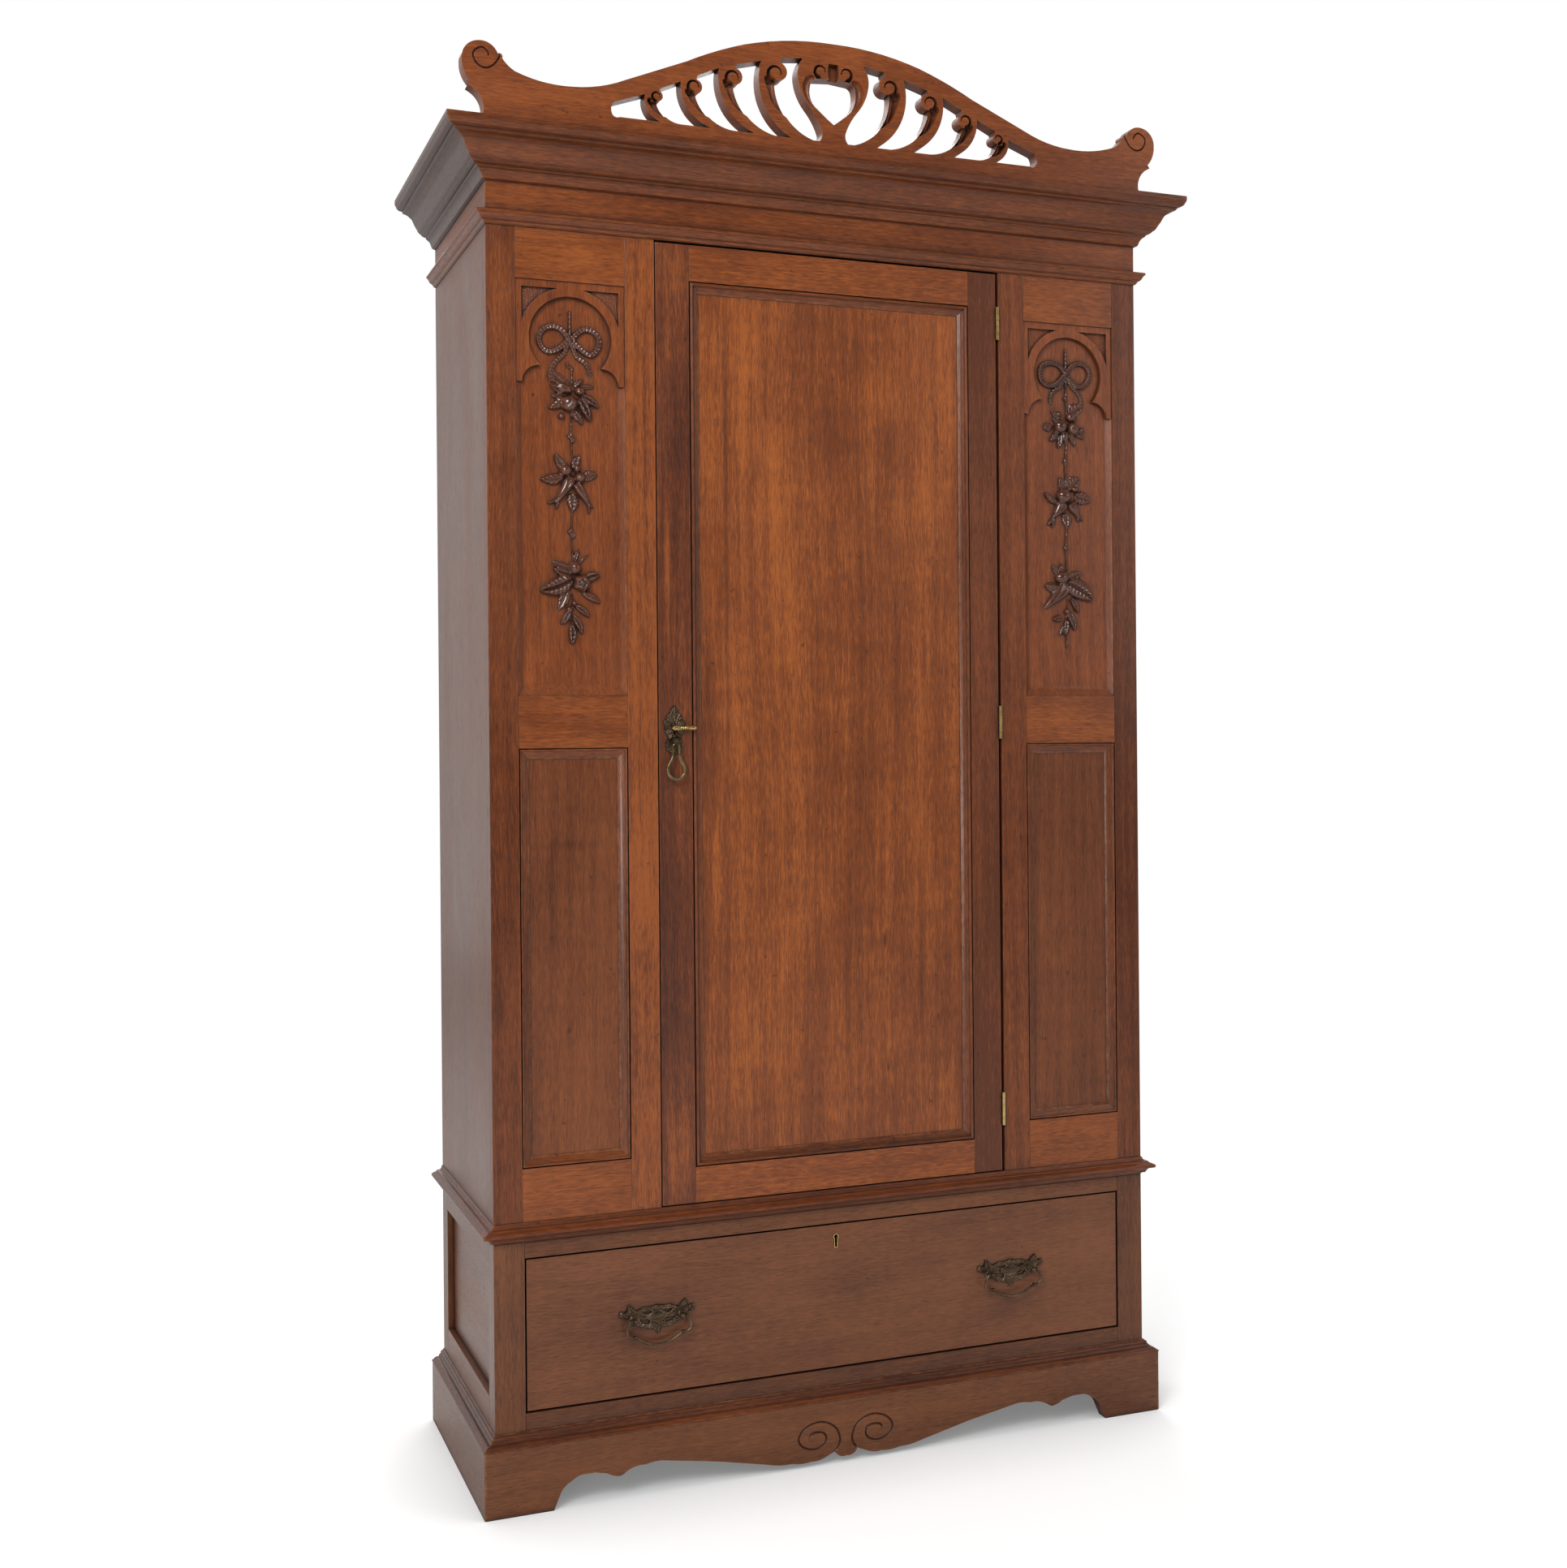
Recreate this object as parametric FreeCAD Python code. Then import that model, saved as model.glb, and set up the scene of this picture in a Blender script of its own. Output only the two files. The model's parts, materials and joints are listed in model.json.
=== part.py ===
import FreeCAD, Part
import math
import os

# A knock-down wardrobe: plinth and drawer base, upper case with a framed door
# between two fixed wings, and a lift-off cornice that carries a pierced crest.
# X runs to the right, Y to the back and Z up. Every length is in millimetres.

# Driving sizes of the whole
case_width = 1060.0
case_depth = 426.0
plinth_height = 95.0
plinth_mould_height = 19.0
base_height = 289.0
waist_height = 29.0
upper_height = 1430.0
frieze_height = 62.0
cornice_height = 75.0
cornice_projection = 64.0
crest_height = 185.0
overrun = 5.0               # how far a cutter runs past what it cuts
close_fit = 0.3             # gap between flat neighbours of two bodies
shaft_fit = 0.05            # radial gap of a turning pin in its bore
quarter_bow_share = (2 ** 0.5 - 1) / 2      # rise of a quarter circle over its chord
eighth_bow_share = 0.0995                   # rise of an eighth of a circle over its chord
rod_sides = 8
turning_sides = 10
bend_step = 26.0            # most degrees between two rings of a bent rod
clear_share = 1 / math.cos(math.pi / turning_sides)     # a facetted bore's corner radius over its clear one

# Stock
frame_stock = 21.0
side_stock = 19.0
shelf_stock = 18.0
back_stock = 9.0
panel_stock = 8.0
groove_depth = 8.0
groove_fit = 1.0            # a panel stops this far short of its groove

# Levels and faces that follow
half = case_width / 2
front = cornice_projection / 2 - case_depth / 2
back = front + case_depth
waist_underside = plinth_height + base_height
upper_base = waist_underside + waist_height
frieze_base = upper_base + upper_height
cornice_base = frieze_base + frieze_height
cornice_top_level = cornice_base + cornice_height
frame_back = front + frame_stock
board_back = back - back_stock


def point(x, y, z):
    return FreeCAD.Vector(x, y, z)


def block(x0, x1, y0, y1, z0, z1):
    return Part.makeBox(x1 - x0, y1 - y0, z1 - z0, point(x0, y0, z0))


def mirrored(shape):
    return shape.mirror(point(0, 0, 0), point(1, 0, 0))


def pair(shape):
    return [shape, mirrored(shape)]


def both(shapes):
    return list(shapes) + [mirrored(shape) for shape in shapes]


def minus(shape, *tools):
    for tool in tools:
        shape = shape.cut(tool)
    return shape.Solids[0]


def joined(first, *others):
    shape = first
    for other in others:
        shape = shape.fuse(other)
    return shape.removeSplitter().Solids[0]


def bowed_edges(rows, place):
    # Each row is (u, v, bow): the stretch that leads to the point rises to the
    # left of its way by bow times its chord, and 0 leaves it straight.
    edges = []
    for index, row in enumerate(rows):
        u0, v0 = rows[index - 1][0], rows[index - 1][1]
        u1, v1, bow_share = row
        start, end = place(u0, v0), place(u1, v1)
        if bow_share:
            middle = place((u0 + u1) / 2 - bow_share * (v1 - v0), (v0 + v1) / 2 + bow_share * (u1 - u0))
            edges.append(Part.Arc(start, middle, end).toShape())
        else:
            edges.append(Part.LineSegment(start, end).toShape())
    return edges


def bowed_wire(rows, place):
    return Part.Wire(bowed_edges(rows, place))


def front_plate(rows, y0, y1):
    # A board cut to an outline in X and Z, from y0 back to y1
    face = Part.Face(bowed_wire(rows, lambda u, v: point(u, y0, v)))
    return face.extrude(point(0, y1 - y0, 0))


def scaled(shares, width, height, x=0.0, z=0.0):
    return [(x + u * width, z + v * height, bow_share) for u, v, bow_share in shares]


def arc_bow_share(radius, start, end):
    # Rise of an arc of that radius over the chord between two places
    chord = ((end[0] - start[0]) ** 2 + (end[1] - start[1]) ** 2) ** 0.5
    return (radius - (radius ** 2 - chord ** 2 / 4) ** 0.5) / chord


def following_bow_share(before, start, end, bow_share):
    # Bow of an arc from start to end that carries on, without a kink, an arc from before to start
    heading = math.atan2(start[1] - before[1], start[0] - before[0])
    turn = heading - math.atan2(end[1] - start[1], end[0] - start[0])
    turn = (turn + math.pi) % math.tau - math.pi
    return math.tan(turn / 2 - math.atan(2 * bow_share)) / 2


def mirrored_outline(right_rows):
    # Closes an outline whose right half runs from the centre line to the centre line
    left_rows = []
    for index in range(len(right_rows) - 1, 0, -1):
        u, v, bow_share = right_rows[index]
        before = right_rows[index - 1]
        left_rows.append((-before[0], before[1], bow_share))
    return right_rows[1:] + left_rows


def y_rod(x, z, radius, y0, y1):
    return Part.makeCylinder(radius, y1 - y0, point(x, y0, z), point(0, 1, 0))


def x_rod(x0, x1, y, z, radius):
    return Part.makeCylinder(radius, x1 - x0, point(x0, y, z), point(1, 0, 0))


def skinned(rings):
    # A solid with flat facets through matching rings of corners
    faces = [Part.Face(Part.makePolygon(ring + ring[:1])) for ring in (rings[0], rings[-1])]
    for near, far in zip(rings, rings[1:]):
        for index in range(len(near)):
            corners = [near[index - 1], near[index], far[index], far[index - 1], near[index - 1]]
            faces.append(Part.Face(Part.makePolygon(corners)))
    solid = Part.makeSolid(Part.makeShell(faces))
    return solid if solid.Volume > 0 else solid.reversed()


def turned(rows, start, along, sides=turning_sides):
    # A small turning: rows of (distance along the axis, radius)
    across = along.cross(point(0, 0, 1)) if abs(along.z) < 1 else point(1, 0, 0)
    over = across.cross(along)
    rings = []
    for distance, radius in rows:
        ring = []
        for index in range(sides):
            turn = math.tau * (index + 0.5) / sides
            ring.append(start + along * distance + across * (radius * math.cos(turn))
                        + over * (radius * math.sin(turn)))
        rings.append(ring)
    return skinned(rings)


def x_pin(x0, x1, y, z, radius):
    return turned([(0.0, radius), (x1 - x0, radius)], point(x0, y, z), point(1, 0, 0))


def y_pin(x, z, radius, y0, y1):
    return turned([(0.0, radius), (y1 - y0, radius)], point(x, y0, z), point(0, 1, 0))


def z_pin(x, y, z0, z1, radius):
    return turned([(0.0, radius), (z1 - z0, radius)], point(x, y, z0), point(0, 0, 1))


def bent_rod(rows, y, radius):
    # A rod along straights and arcs in a plane of X and Z, mitred at each bend
    places, ways = [], []
    edges = bowed_edges(rows, lambda u, v: point(u, y, v))[1:]
    for edge in edges:
        count = 1
        if isinstance(edge.Curve, Part.Circle):
            count = math.ceil(math.degrees(edge.LastParameter - edge.FirstParameter) / bend_step)
        step = (edge.LastParameter - edge.FirstParameter) / count
        places += [edge.valueAt(edge.FirstParameter + step * index) for index in range(count)]
    places.append(edges[-1].valueAt(edges[-1].LastParameter))
    for near, far in zip(places, places[1:]):
        ways.append((far - near).normalize())
    facings = [near + far for near, far in zip(ways, ways[1:])]
    facings.insert(0, edges[0].tangentAt(edges[0].FirstParameter))
    facings.append(edges[-1].tangentAt(edges[-1].LastParameter))
    rings = []
    for place, facing, way in zip(places, facings, ways + ways[-1:]):
        across = facing.cross(point(0, 1, 0)).normalize()
        reach = radius / across.dot(way.cross(point(0, 1, 0)))
        ring = []
        for index in range(rod_sides):
            turn = math.tau * (index + 0.5) / rod_sides
            ring.append(place + across * (reach * math.cos(turn)) + point(0, radius * math.sin(turn), 0))
        rings.append(ring)
    return skinned(rings)


def mitred_surround(profile, out_from, y_from, y_to):
    # A moulding across the front and back along both sides, mitred at the corners
    def corner(side):
        return bowed_wire(profile, lambda out, up: point(side * (out_from + out), y_from - out, up))

    def tail(side):
        return bowed_wire(profile, lambda out, up: point(side * (out_from + out), y_to, up))

    pieces = [Part.makeLoft([corner(-1), corner(1)], True, True)]
    for side in (-1, 1):
        pieces.append(Part.makeLoft([corner(side), tail(side)], True, True))
    return pieces


def mitred_frame(profile, x0, x1, z0, z1, face):
    # Four mitred slips round an opening; the profile is (inward, in front of face)
    corners = [(x0, z0, 1, 1), (x1, z0, -1, 1), (x1, z1, -1, -1), (x0, z1, 1, -1)]
    wires = []
    for x, z, right, up in corners:
        wires.append(bowed_wire(profile, lambda u, v: point(x + right * u, face - v, z + up * u)))
    return [Part.makeLoft([wires[i - 1], wires[i]], True, True) for i in range(4)]


# Plinth: mitred boards with a serpentine front apron
plinth_stock = 22.0
plinth_projection = 19.0
plinth_half = half + plinth_projection
plinth_front_face = front - plinth_projection
plinth_inner = plinth_half - plinth_stock
plinth_block_width = 42.0
plinth_block_lift = 12.0
apron_rise = 46.0           # highest point of the serpentine edge
foot_width = 99.0
apron_half = plinth_half - foot_width
foot_corner = 3.0
# From the foot's inner corner to the centre: shares of apron_half and apron_rise
apron_shares = [
    (1.0, 0.0, 0.0), (0.982, 0.41, 0.0), (0.942, 0.83, -0.11), (0.9, 0.98, -0.1),
    (0.866, 0.98, 0.0), (0.827, 0.89, 0.0), (0.785, 0.74, 0.06), (0.773, 0.78, 0.0),
    (0.7, 0.98, -0.1), (0.624, 0.99, -0.06), (0.456, 0.7, 0.0), (0.284, 0.33, 0.0),
    (0.196, 0.215, 0.04), (0.127, 0.19, 0.05), (0.069, 0.29, 0.08), (0.04, 0.41, 0.0),
    (0.0, 0.215, 0.2),
]


def plan_prism(rows, z0, z1):
    face = Part.Face(bowed_wire([(u, v, 0.0) for u, v in rows], lambda u, v: point(u, v, z0)))
    return face.extrude(point(0, 0, z1 - z0))


def plinth_front():
    edge = scaled(apron_shares, apron_half, apron_rise)
    right = [(0.0, plinth_height, 0.0), (plinth_half, plinth_height, 0.0), (plinth_half, foot_corner, 0.0)]
    right += [(plinth_half - foot_corner, 0.0, quarter_bow_share)] + edge
    board = front_plate(mirrored_outline(right), plinth_front_face, plinth_front_face + plinth_stock)
    mitre = plan_prism([
        (-plinth_half, plinth_front_face), (plinth_half, plinth_front_face),
        (plinth_inner, plinth_front_face + plinth_stock), (-plinth_inner, plinth_front_face + plinth_stock),
    ], -overrun, plinth_height + overrun)
    return [board.common(mitre).Solids[0]]


def plinth_sides():
    board = plan_prism([
        (plinth_half, plinth_front_face), (plinth_half, back),
        (plinth_inner, back), (plinth_inner, plinth_front_face + plinth_stock),
    ], 0.0, plinth_height)
    return pair(board)


def plinth_back():
    return [block(-plinth_inner, plinth_inner, back - plinth_stock, back, 0.0, plinth_height)]


def plinth_blocks():
    inner = plinth_inner - plinth_block_width
    ahead = plinth_front_face + plinth_stock
    behind = back - plinth_stock
    blocks = []
    for y0, y1 in ((ahead, ahead + plinth_block_width), (behind - plinth_block_width, behind)):
        blocks.append(block(inner, plinth_inner, y0, y1, plinth_block_lift, plinth_height))
    return both(blocks)


plinth_mould_reach = 20.0
# Shares of the moulding's reach and height, from its seat round the outside
plinth_mould_shares = [
    (0.0, 0.0, 0.0), (0.96, 0.0, 0.0), (1.0, 0.06, 0.0), (0.97, 0.14, 0.0), (0.84, 0.2, 0.0),
    (0.45, 0.37, -0.14), (0.28, 0.62, -0.12), (0.29, 0.7, 0.0), (0.12, 0.86, -0.2), (0.1, 0.93, 0.0),
    (0.04, 0.97, 0.0), (0.0, 1.0, 0.0),
]


def plinth_mould():
    profile = scaled(plinth_mould_shares, plinth_mould_reach, plinth_mould_height, z=plinth_height)
    return mitred_surround(profile, half, front, back)


# Drawer base: corner posts, rails, grooved side panels, top and bottom
post_width = 44.5
front_post_depth = 41.0
rear_post_depth = 42.0
base_lower_rail = 43.0
base_upper_rail = 23.5
side_top_rail = 35.5
side_bottom_rail = 61.5
side_panel_recess = 10.0
opening_base = plinth_height + base_lower_rail
opening_top = waist_underside - base_upper_rail
opening_half = half - post_width
side_rail_inner = half - frame_stock
side_panel_face = half - side_panel_recess
side_panel_front = front + front_post_depth
side_panel_back = back - rear_post_depth
side_panel_base = plinth_height + side_bottom_rail
side_panel_top = waist_underside - side_top_rail
bolt_slot_depth = 11.0


def base_panel_space(margin):
    return block(side_panel_face - panel_stock, side_panel_face,
                 side_panel_front - margin, side_panel_back + margin,
                 side_panel_base - margin, side_panel_top + margin)


def base_posts():
    groove = base_panel_space(groove_depth)
    ahead = block(opening_half, half, front, side_panel_front, plinth_height, waist_underside)
    behind = block(opening_half, half, side_panel_back, back, plinth_height, waist_underside)
    return both([minus(ahead, groove), minus(behind, groove)])


def base_side_rails():
    groove = base_panel_space(groove_depth)
    rails = []
    for z0, z1 in ((plinth_height, side_panel_base), (side_panel_top, waist_underside)):
        rail = block(side_rail_inner, half, side_panel_front, side_panel_back, z0, z1)
        rails.append(minus(rail, groove))
    return both(rails)


def base_side_panels():
    return pair(base_panel_space(groove_depth - groove_fit))


def base_rails():
    lower = block(-opening_half, opening_half, front, frame_back, plinth_height, opening_base)
    upper = block(-opening_half, opening_half, front, frame_back, opening_top, waist_underside)
    slot = block(drawer_bolt_x0 - close_fit, drawer_bolt_x1 + close_fit,
                 drawer_bolt_y0 - close_fit, drawer_bolt_y1 + close_fit,
                 opening_top - overrun, opening_top + bolt_slot_depth)
    return [lower, minus(upper, slot)]


def base_board(z0, z1):
    board = block(-side_rail_inner, side_rail_inner, frame_back, board_back, z0, z1)
    for y0, y1 in ((front, side_panel_front), (side_panel_back, back)):
        corner = block(opening_half, half, y0, y1, z0 - overrun, z1 + overrun)
        board = board.cut(corner).cut(mirrored(corner))
    return board.Solids[0]


def base_boards():
    lower = base_board(plinth_height, plinth_height + shelf_stock)
    upper = base_board(waist_underside - shelf_stock, waist_underside)
    return [lower, upper]


def base_back():
    return [block(-opening_half, opening_half, board_back, back, plinth_height, waist_underside)]


runner_width = 39.5
guide_height = 19.0
stop_depth = 20.0
stop_width = 50.0
runner_inner = opening_half - runner_width


def drawer_runners():
    runner = block(runner_inner, side_rail_inner, side_panel_front, side_panel_back,
                   plinth_height + shelf_stock, drawer_base - close_fit)
    guide = block(opening_half, side_rail_inner, side_panel_front, side_panel_back,
                  drawer_base - close_fit, drawer_base - close_fit + guide_height)
    stop = block(runner_inner - stop_width, runner_inner, board_back - stop_depth, board_back,
                 plinth_height + shelf_stock, drawer_base + guide_height)
    return both([runner, guide, stop])


# Waist frame between the drawer base and the upper case
waist_reach = 18.0
waist_bed = 48.0
waist_shares = [
    (0.0, 0.0, 0.0), (0.06, 0.06, 0.0), (0.31, 0.11, 0.15), (0.4, 0.24, 0.0), (0.88, 0.4, 0.15),
    (1.0, 0.5, -0.2), (0.9, 0.6, -0.2), (0.55, 0.69, 0.0), (0.5, 0.75, 0.0), (0.3, 0.76, 0.0),
    (0.14, 0.84, 0.12), (0.1, 0.94, 0.0), (0.04, 0.98, 0.0), (0.0, 1.0, 0.0),
]


def waist_frame():
    profile = scaled(waist_shares, waist_reach, waist_height, z=waist_underside)
    inner = [(-waist_bed, upper_base, 0.0), (-waist_bed, waist_underside, 0.0)]
    pieces = mitred_surround(profile + inner, half, front, back)
    inside = half - waist_bed
    pieces.append(block(-inside, inside, back - waist_bed, back, waist_underside, upper_base))
    return pieces


# Upper case
corner_stile_width = 42.4
inner_stile_width = 45.0
wing_width = 160.6
wing_top_rail = 73.0
wing_middle_rail = 76.0
wing_bottom_rail = 76.0
lower_panel_height = 604.0
wing_outer = half - corner_stile_width
wing_inner = wing_outer - wing_width
door_bay_half = wing_inner - inner_stile_width
wing_centre = (wing_inner + wing_outer) / 2
wing_half = wing_width / 2
lower_panel_base = upper_base + wing_bottom_rail
lower_panel_top = lower_panel_base + lower_panel_height
carved_panel_base = lower_panel_top + wing_middle_rail
carved_panel_top = frieze_base - wing_top_rail
lower_panel_recess = 8.0
carved_stock = 15.0
carved_recess = 2.0
back_board_count = 8
back_board_chamfer = 1.5


def case_sides():
    return pair(block(half - side_stock, half, frame_back, back, upper_base, frieze_base))


def case_boards():
    inside = half - side_stock
    levels = (upper_base, frieze_base - shelf_stock)
    return [block(-inside, inside, frame_back, board_back, z0, z0 + shelf_stock) for z0 in levels]


def back_boards():
    inside = half - side_stock
    width = 2 * inside / back_board_count
    boards = []
    for index in range(back_board_count):
        x0 = -inside + index * width
        x1 = x0 + width
        boards.append(plan_prism([
            (x0, board_back), (x1, board_back), (x1, back - back_board_chamfer),
            (x1 - back_board_chamfer, back),
            (x0 + back_board_chamfer, back), (x0, back - back_board_chamfer),
        ], upper_base, frieze_base))
    return boards


def lower_panel_space(margin):
    return block(wing_inner - margin, wing_outer + margin, front + lower_panel_recess,
                 front + lower_panel_recess + panel_stock, lower_panel_base - margin,
                 lower_panel_top + margin)


def carved_panel_space(margin):
    return block(wing_inner - margin, wing_outer + margin, front + carved_recess + panel_stock,
                 front + carved_recess + carved_stock, carved_panel_base - margin, carved_panel_top + margin)


def wing_grooves():
    return [lower_panel_space(groove_depth), carved_panel_space(groove_depth)]


def corner_stiles():
    stile = block(wing_outer, half, front, frame_back, upper_base, frieze_base)
    return pair(minus(stile, *wing_grooves()))


def inner_stile():
    stile = block(door_bay_half, wing_inner, front, frame_back, upper_base, frieze_base)
    return minus(stile, *wing_grooves())


def inner_stile_right():
    return [inner_stile()]


def inner_stile_left():
    return [minus(mirrored(inner_stile()), strike_space(), bolt_mortise())]


def wing_rails():
    levels = ((upper_base, lower_panel_base), (lower_panel_top, carved_panel_base),
              (carved_panel_top, frieze_base))
    rails = []
    for z0, z1 in levels:
        rail = block(wing_inner, wing_outer, front, frame_back, z0, z1)
        rails.append(minus(rail, *wing_grooves()))
    return both(rails)


def lower_panels():
    return pair(lower_panel_space(groove_depth - groove_fit))


slip_width = 15.0
# Inward and forward shares of the slip's width and of the panel's recess
slip_shares = [
    (0.0, 0.0, 0.0), (1.0, 0.0, 0.0), (0.93, 0.14, 0.0), (0.2, 0.72, -0.05), (0.16, 0.86, 0.0),
    (0.0, 0.92, -0.15),
]


def lower_slips():
    profile = scaled(slip_shares, slip_width, lower_panel_recess)
    face = front + lower_panel_recess
    return both(mitred_frame(profile, wing_inner, wing_outer, lower_panel_base, lower_panel_top, face))


# Carved upper panels: a sunk field under a horseshoe arch with sunk spandrels
border_width = 9.0
border_top = 10.5
field_sink = 7.0
spandrel_sink = 4.0
arch_inset = 10.3           # from the field's side in to the arch
arch_head = 21.0            # from the panel's top edge down to the arch
arch_band = 13.0
cusp_drop = 41.0            # from the arch's centre down to the cusps
shoulder_drop = 66.0        # from the arch's centre down to the straight sides
field_foot = 12.0
field_foot_rise = 7.0
foot_edge_rise = 1.75       # rise of the foot's outer edge
shoulder_bow_share = 0.2
field_half = wing_half - border_width
arch_radius = field_half - arch_inset
arch_centre = carved_panel_top - arch_head - arch_radius
board_face = front + carved_recess
field_face = board_face + field_sink


def arch_cutter():
    shoulder = arch_centre - shoulder_drop
    cusp_level = arch_centre - cusp_drop
    cusp = (arch_radius ** 2 - cusp_drop ** 2) ** 0.5
    crown = arch_centre + arch_radius
    flank_share = arc_bow_share(arch_radius, (arch_radius, arch_centre), (cusp, cusp_level))
    rows = [
        (wing_centre + arch_radius, arch_centre, quarter_bow_share),
        (wing_centre + cusp, cusp_level, flank_share),
        (wing_centre + field_half, shoulder, shoulder_bow_share),
        (wing_centre + field_half, shoulder - overrun, 0.0),
        (wing_centre - field_half, shoulder - overrun, 0.0), (wing_centre - field_half, shoulder, 0.0),
        (wing_centre - cusp, cusp_level, shoulder_bow_share),
        (wing_centre - arch_radius, arch_centre, flank_share),
        (wing_centre, crown, quarter_bow_share),
    ]
    return front_plate(rows, board_face - overrun, field_face)


def field_cutter():
    # Sloping borders run down to the sunk field; the foot's border is arched
    shoulder = arch_centre - shoulder_drop

    def section(edge, foot, rise, y):
        bow_share = rise / (2 * edge)
        rows = [
            (wing_centre - edge, foot, 0.0), (wing_centre + edge, foot, bow_share),
            (wing_centre + edge, shoulder, 0.0), (wing_centre - edge, shoulder, 0.0),
        ]
        return bowed_wire(rows, lambda u, v: point(u, y, v))

    foot = carved_panel_base
    outer = section(wing_half, foot, foot_edge_rise, board_face)
    inner = section(field_half, foot + field_foot, field_foot_rise, field_face)
    return Part.makeLoft([outer, inner], True, True)


def spandrel_cutter():
    corners = block(wing_centre - field_half, wing_centre + field_half, board_face - overrun,
                    board_face + spandrel_sink, arch_centre, carved_panel_top - border_top)
    return corners.cut(y_rod(wing_centre, arch_centre, arch_radius + arch_band, board_face - 2 * overrun,
                             board_face + 2 * overrun))


def carved_panel():
    board = block(wing_inner, wing_outer, board_face, board_face + carved_stock, carved_panel_base,
                  carved_panel_top)
    board = joined(board, carved_panel_space(groove_depth - groove_fit))
    return minus(board, arch_cutter(), field_cutter(), spandrel_cutter())


def carved_panel_right():
    return [carved_panel()]


def carved_panel_left():
    return [mirrored(carved_panel())]


# Applied carving on each upper panel: a ribbon bow over three clusters of fruit and leaves
drop_side = 29.3            # clear field each side of the carving
drop_head = 39.0            # pin top above the arch's centre
drop_foot = 76.0            # from the panel's foot up to the lowest leaf
drop_width = 2 * (field_half - drop_side)
drop_length = arch_centre + drop_head - carved_panel_base - drop_foot
stem_half = 2.0
stem_lift = 2.5
stem_end_share = 0.95
leaf_lift = 4.0
fruit_lift_share = 0.2      # how much a fruit stands out beyond its own radius
fruit_shape_shares = [(0.0, 0.97), (0.2, 1.0), (0.6, 0.84), (0.9, 0.5), (1.0, 0.15)]
knot_radius = 4.5
ribbon_half_width = 21.0
ribbon_half_height = 19.0
ribbon_band = 6.0
ribbon_sides = 14
ribbon_lift = 3.0
ribbon_spread_share = 0.28
ribbon_drop_share = 0.083
# Fruits: place across and down as shares of drop_width and drop_length, radius as a share of drop_width
fruit_shares = [
    (0.0, 0.275, 0.148), (0.18, 0.235, 0.085), (-0.14, 0.232, 0.08), (0.27, 0.285, 0.07),
    (-0.09, 0.477, 0.11), (0.14, 0.496, 0.1), (0.08, 0.768, 0.085), (0.2, 0.814, 0.15), (-0.17, 0.81, 0.12),
    (0.02, 0.88, 0.055), (-0.07, 0.9, 0.055),
]
# Leaves: root across and down, length as a share of drop_width, turn in degrees from +X
leaf_shares = [
    (-0.1, 0.235, 0.42, 140.0), (-0.12, 0.27, 0.32, 195.0), (-0.08, 0.3, 0.34, 235.0),
    (0.05, 0.3, 0.36, 290.0),
    (0.2, 0.28, 0.34, 325.0), (0.22, 0.25, 0.28, 20.0), (-0.1, 0.45, 0.32, 110.0), (0.08, 0.46, 0.32, 60.0),
    (-0.16, 0.49, 0.42, 185.0), (0.2, 0.495, 0.34, 0.0), (-0.08, 0.51, 0.62, 232.0), (0.12, 0.51, 0.6, 302.0),
    (0.02, 0.52, 0.5, 268.0), (-0.2, 0.78, 0.32, 130.0), (-0.22, 0.82, 0.34, 200.0), (0.28, 0.79, 0.28, 30.0),
    (0.26, 0.85, 0.34, 325.0), (-0.1, 0.83, 0.44, 250.0), (-0.1, 0.9, 0.34, 240.0), (0.1, 0.88, 0.44, 310.0),
    (0.05, 0.93, 0.34, 285.0), (0.0, 0.945, 0.32, 265.0),
]
leaf_edge_lift_share = 0.35     # height of a leaf's edge over that of its midrib
leaf_edge_shares = [(0.3, 0.2), (0.7, 0.19)]    # along and beside the midrib, of the leaf's length
fruit_sides = 8
tail_shares = [(-0.03, 0.09, 0.62, 225.0), (0.03, 0.09, 0.62, 315.0)]


def drop_place(across, down):
    return wing_centre + across * drop_width, arch_centre + drop_head - down * drop_length


def leaf(shares, lift):
    # A leaf with a raised midrib, its two halves sloping down to the edges
    across, down, length_share, turn = shares
    x, z = drop_place(across, down)
    length = length_share * drop_width
    lean = FreeCAD.Rotation(point(0, 1, 0), -turn)

    def place(along_share, beside_share, up):
        return point(x, field_face - up, z) + lean.multVec(point(along_share * length, 0,
                                                                 beside_share * length))

    outline_shares = [(0.0, 0.0)] + leaf_edge_shares + [(1.0, 0.0)]
    outline_shares += [(along_share, -beside_share) for along_share,
                       beside_share in reversed(leaf_edge_shares)]
    edge_lift = lift * leaf_edge_lift_share
    low = [place(along_share, beside_share, 0.0) for along_share, beside_share in outline_shares]
    high = [place(along_share, beside_share, edge_lift) for along_share, beside_share in outline_shares]
    ridge = [place(along_share, 0.0, lift if beside_share else edge_lift)
             for along_share, beside_share in outline_shares]
    loops = [low]
    for index in range(len(low)):
        loops.append([low[index - 1], low[index], high[index], high[index - 1]])
        if high[index - 1] != ridge[index - 1]:
            loops.append([high[index - 1], ridge[index], ridge[index - 1]])
        if high[index] != ridge[index]:
            loops.append([high[index - 1], high[index], ridge[index]])
    faces = [Part.Face(Part.makePolygon(loop + loop[:1])) for loop in loops]
    solid = Part.makeSolid(Part.makeShell(faces))
    return solid if solid.Volume > 0 else solid.reversed()


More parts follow.
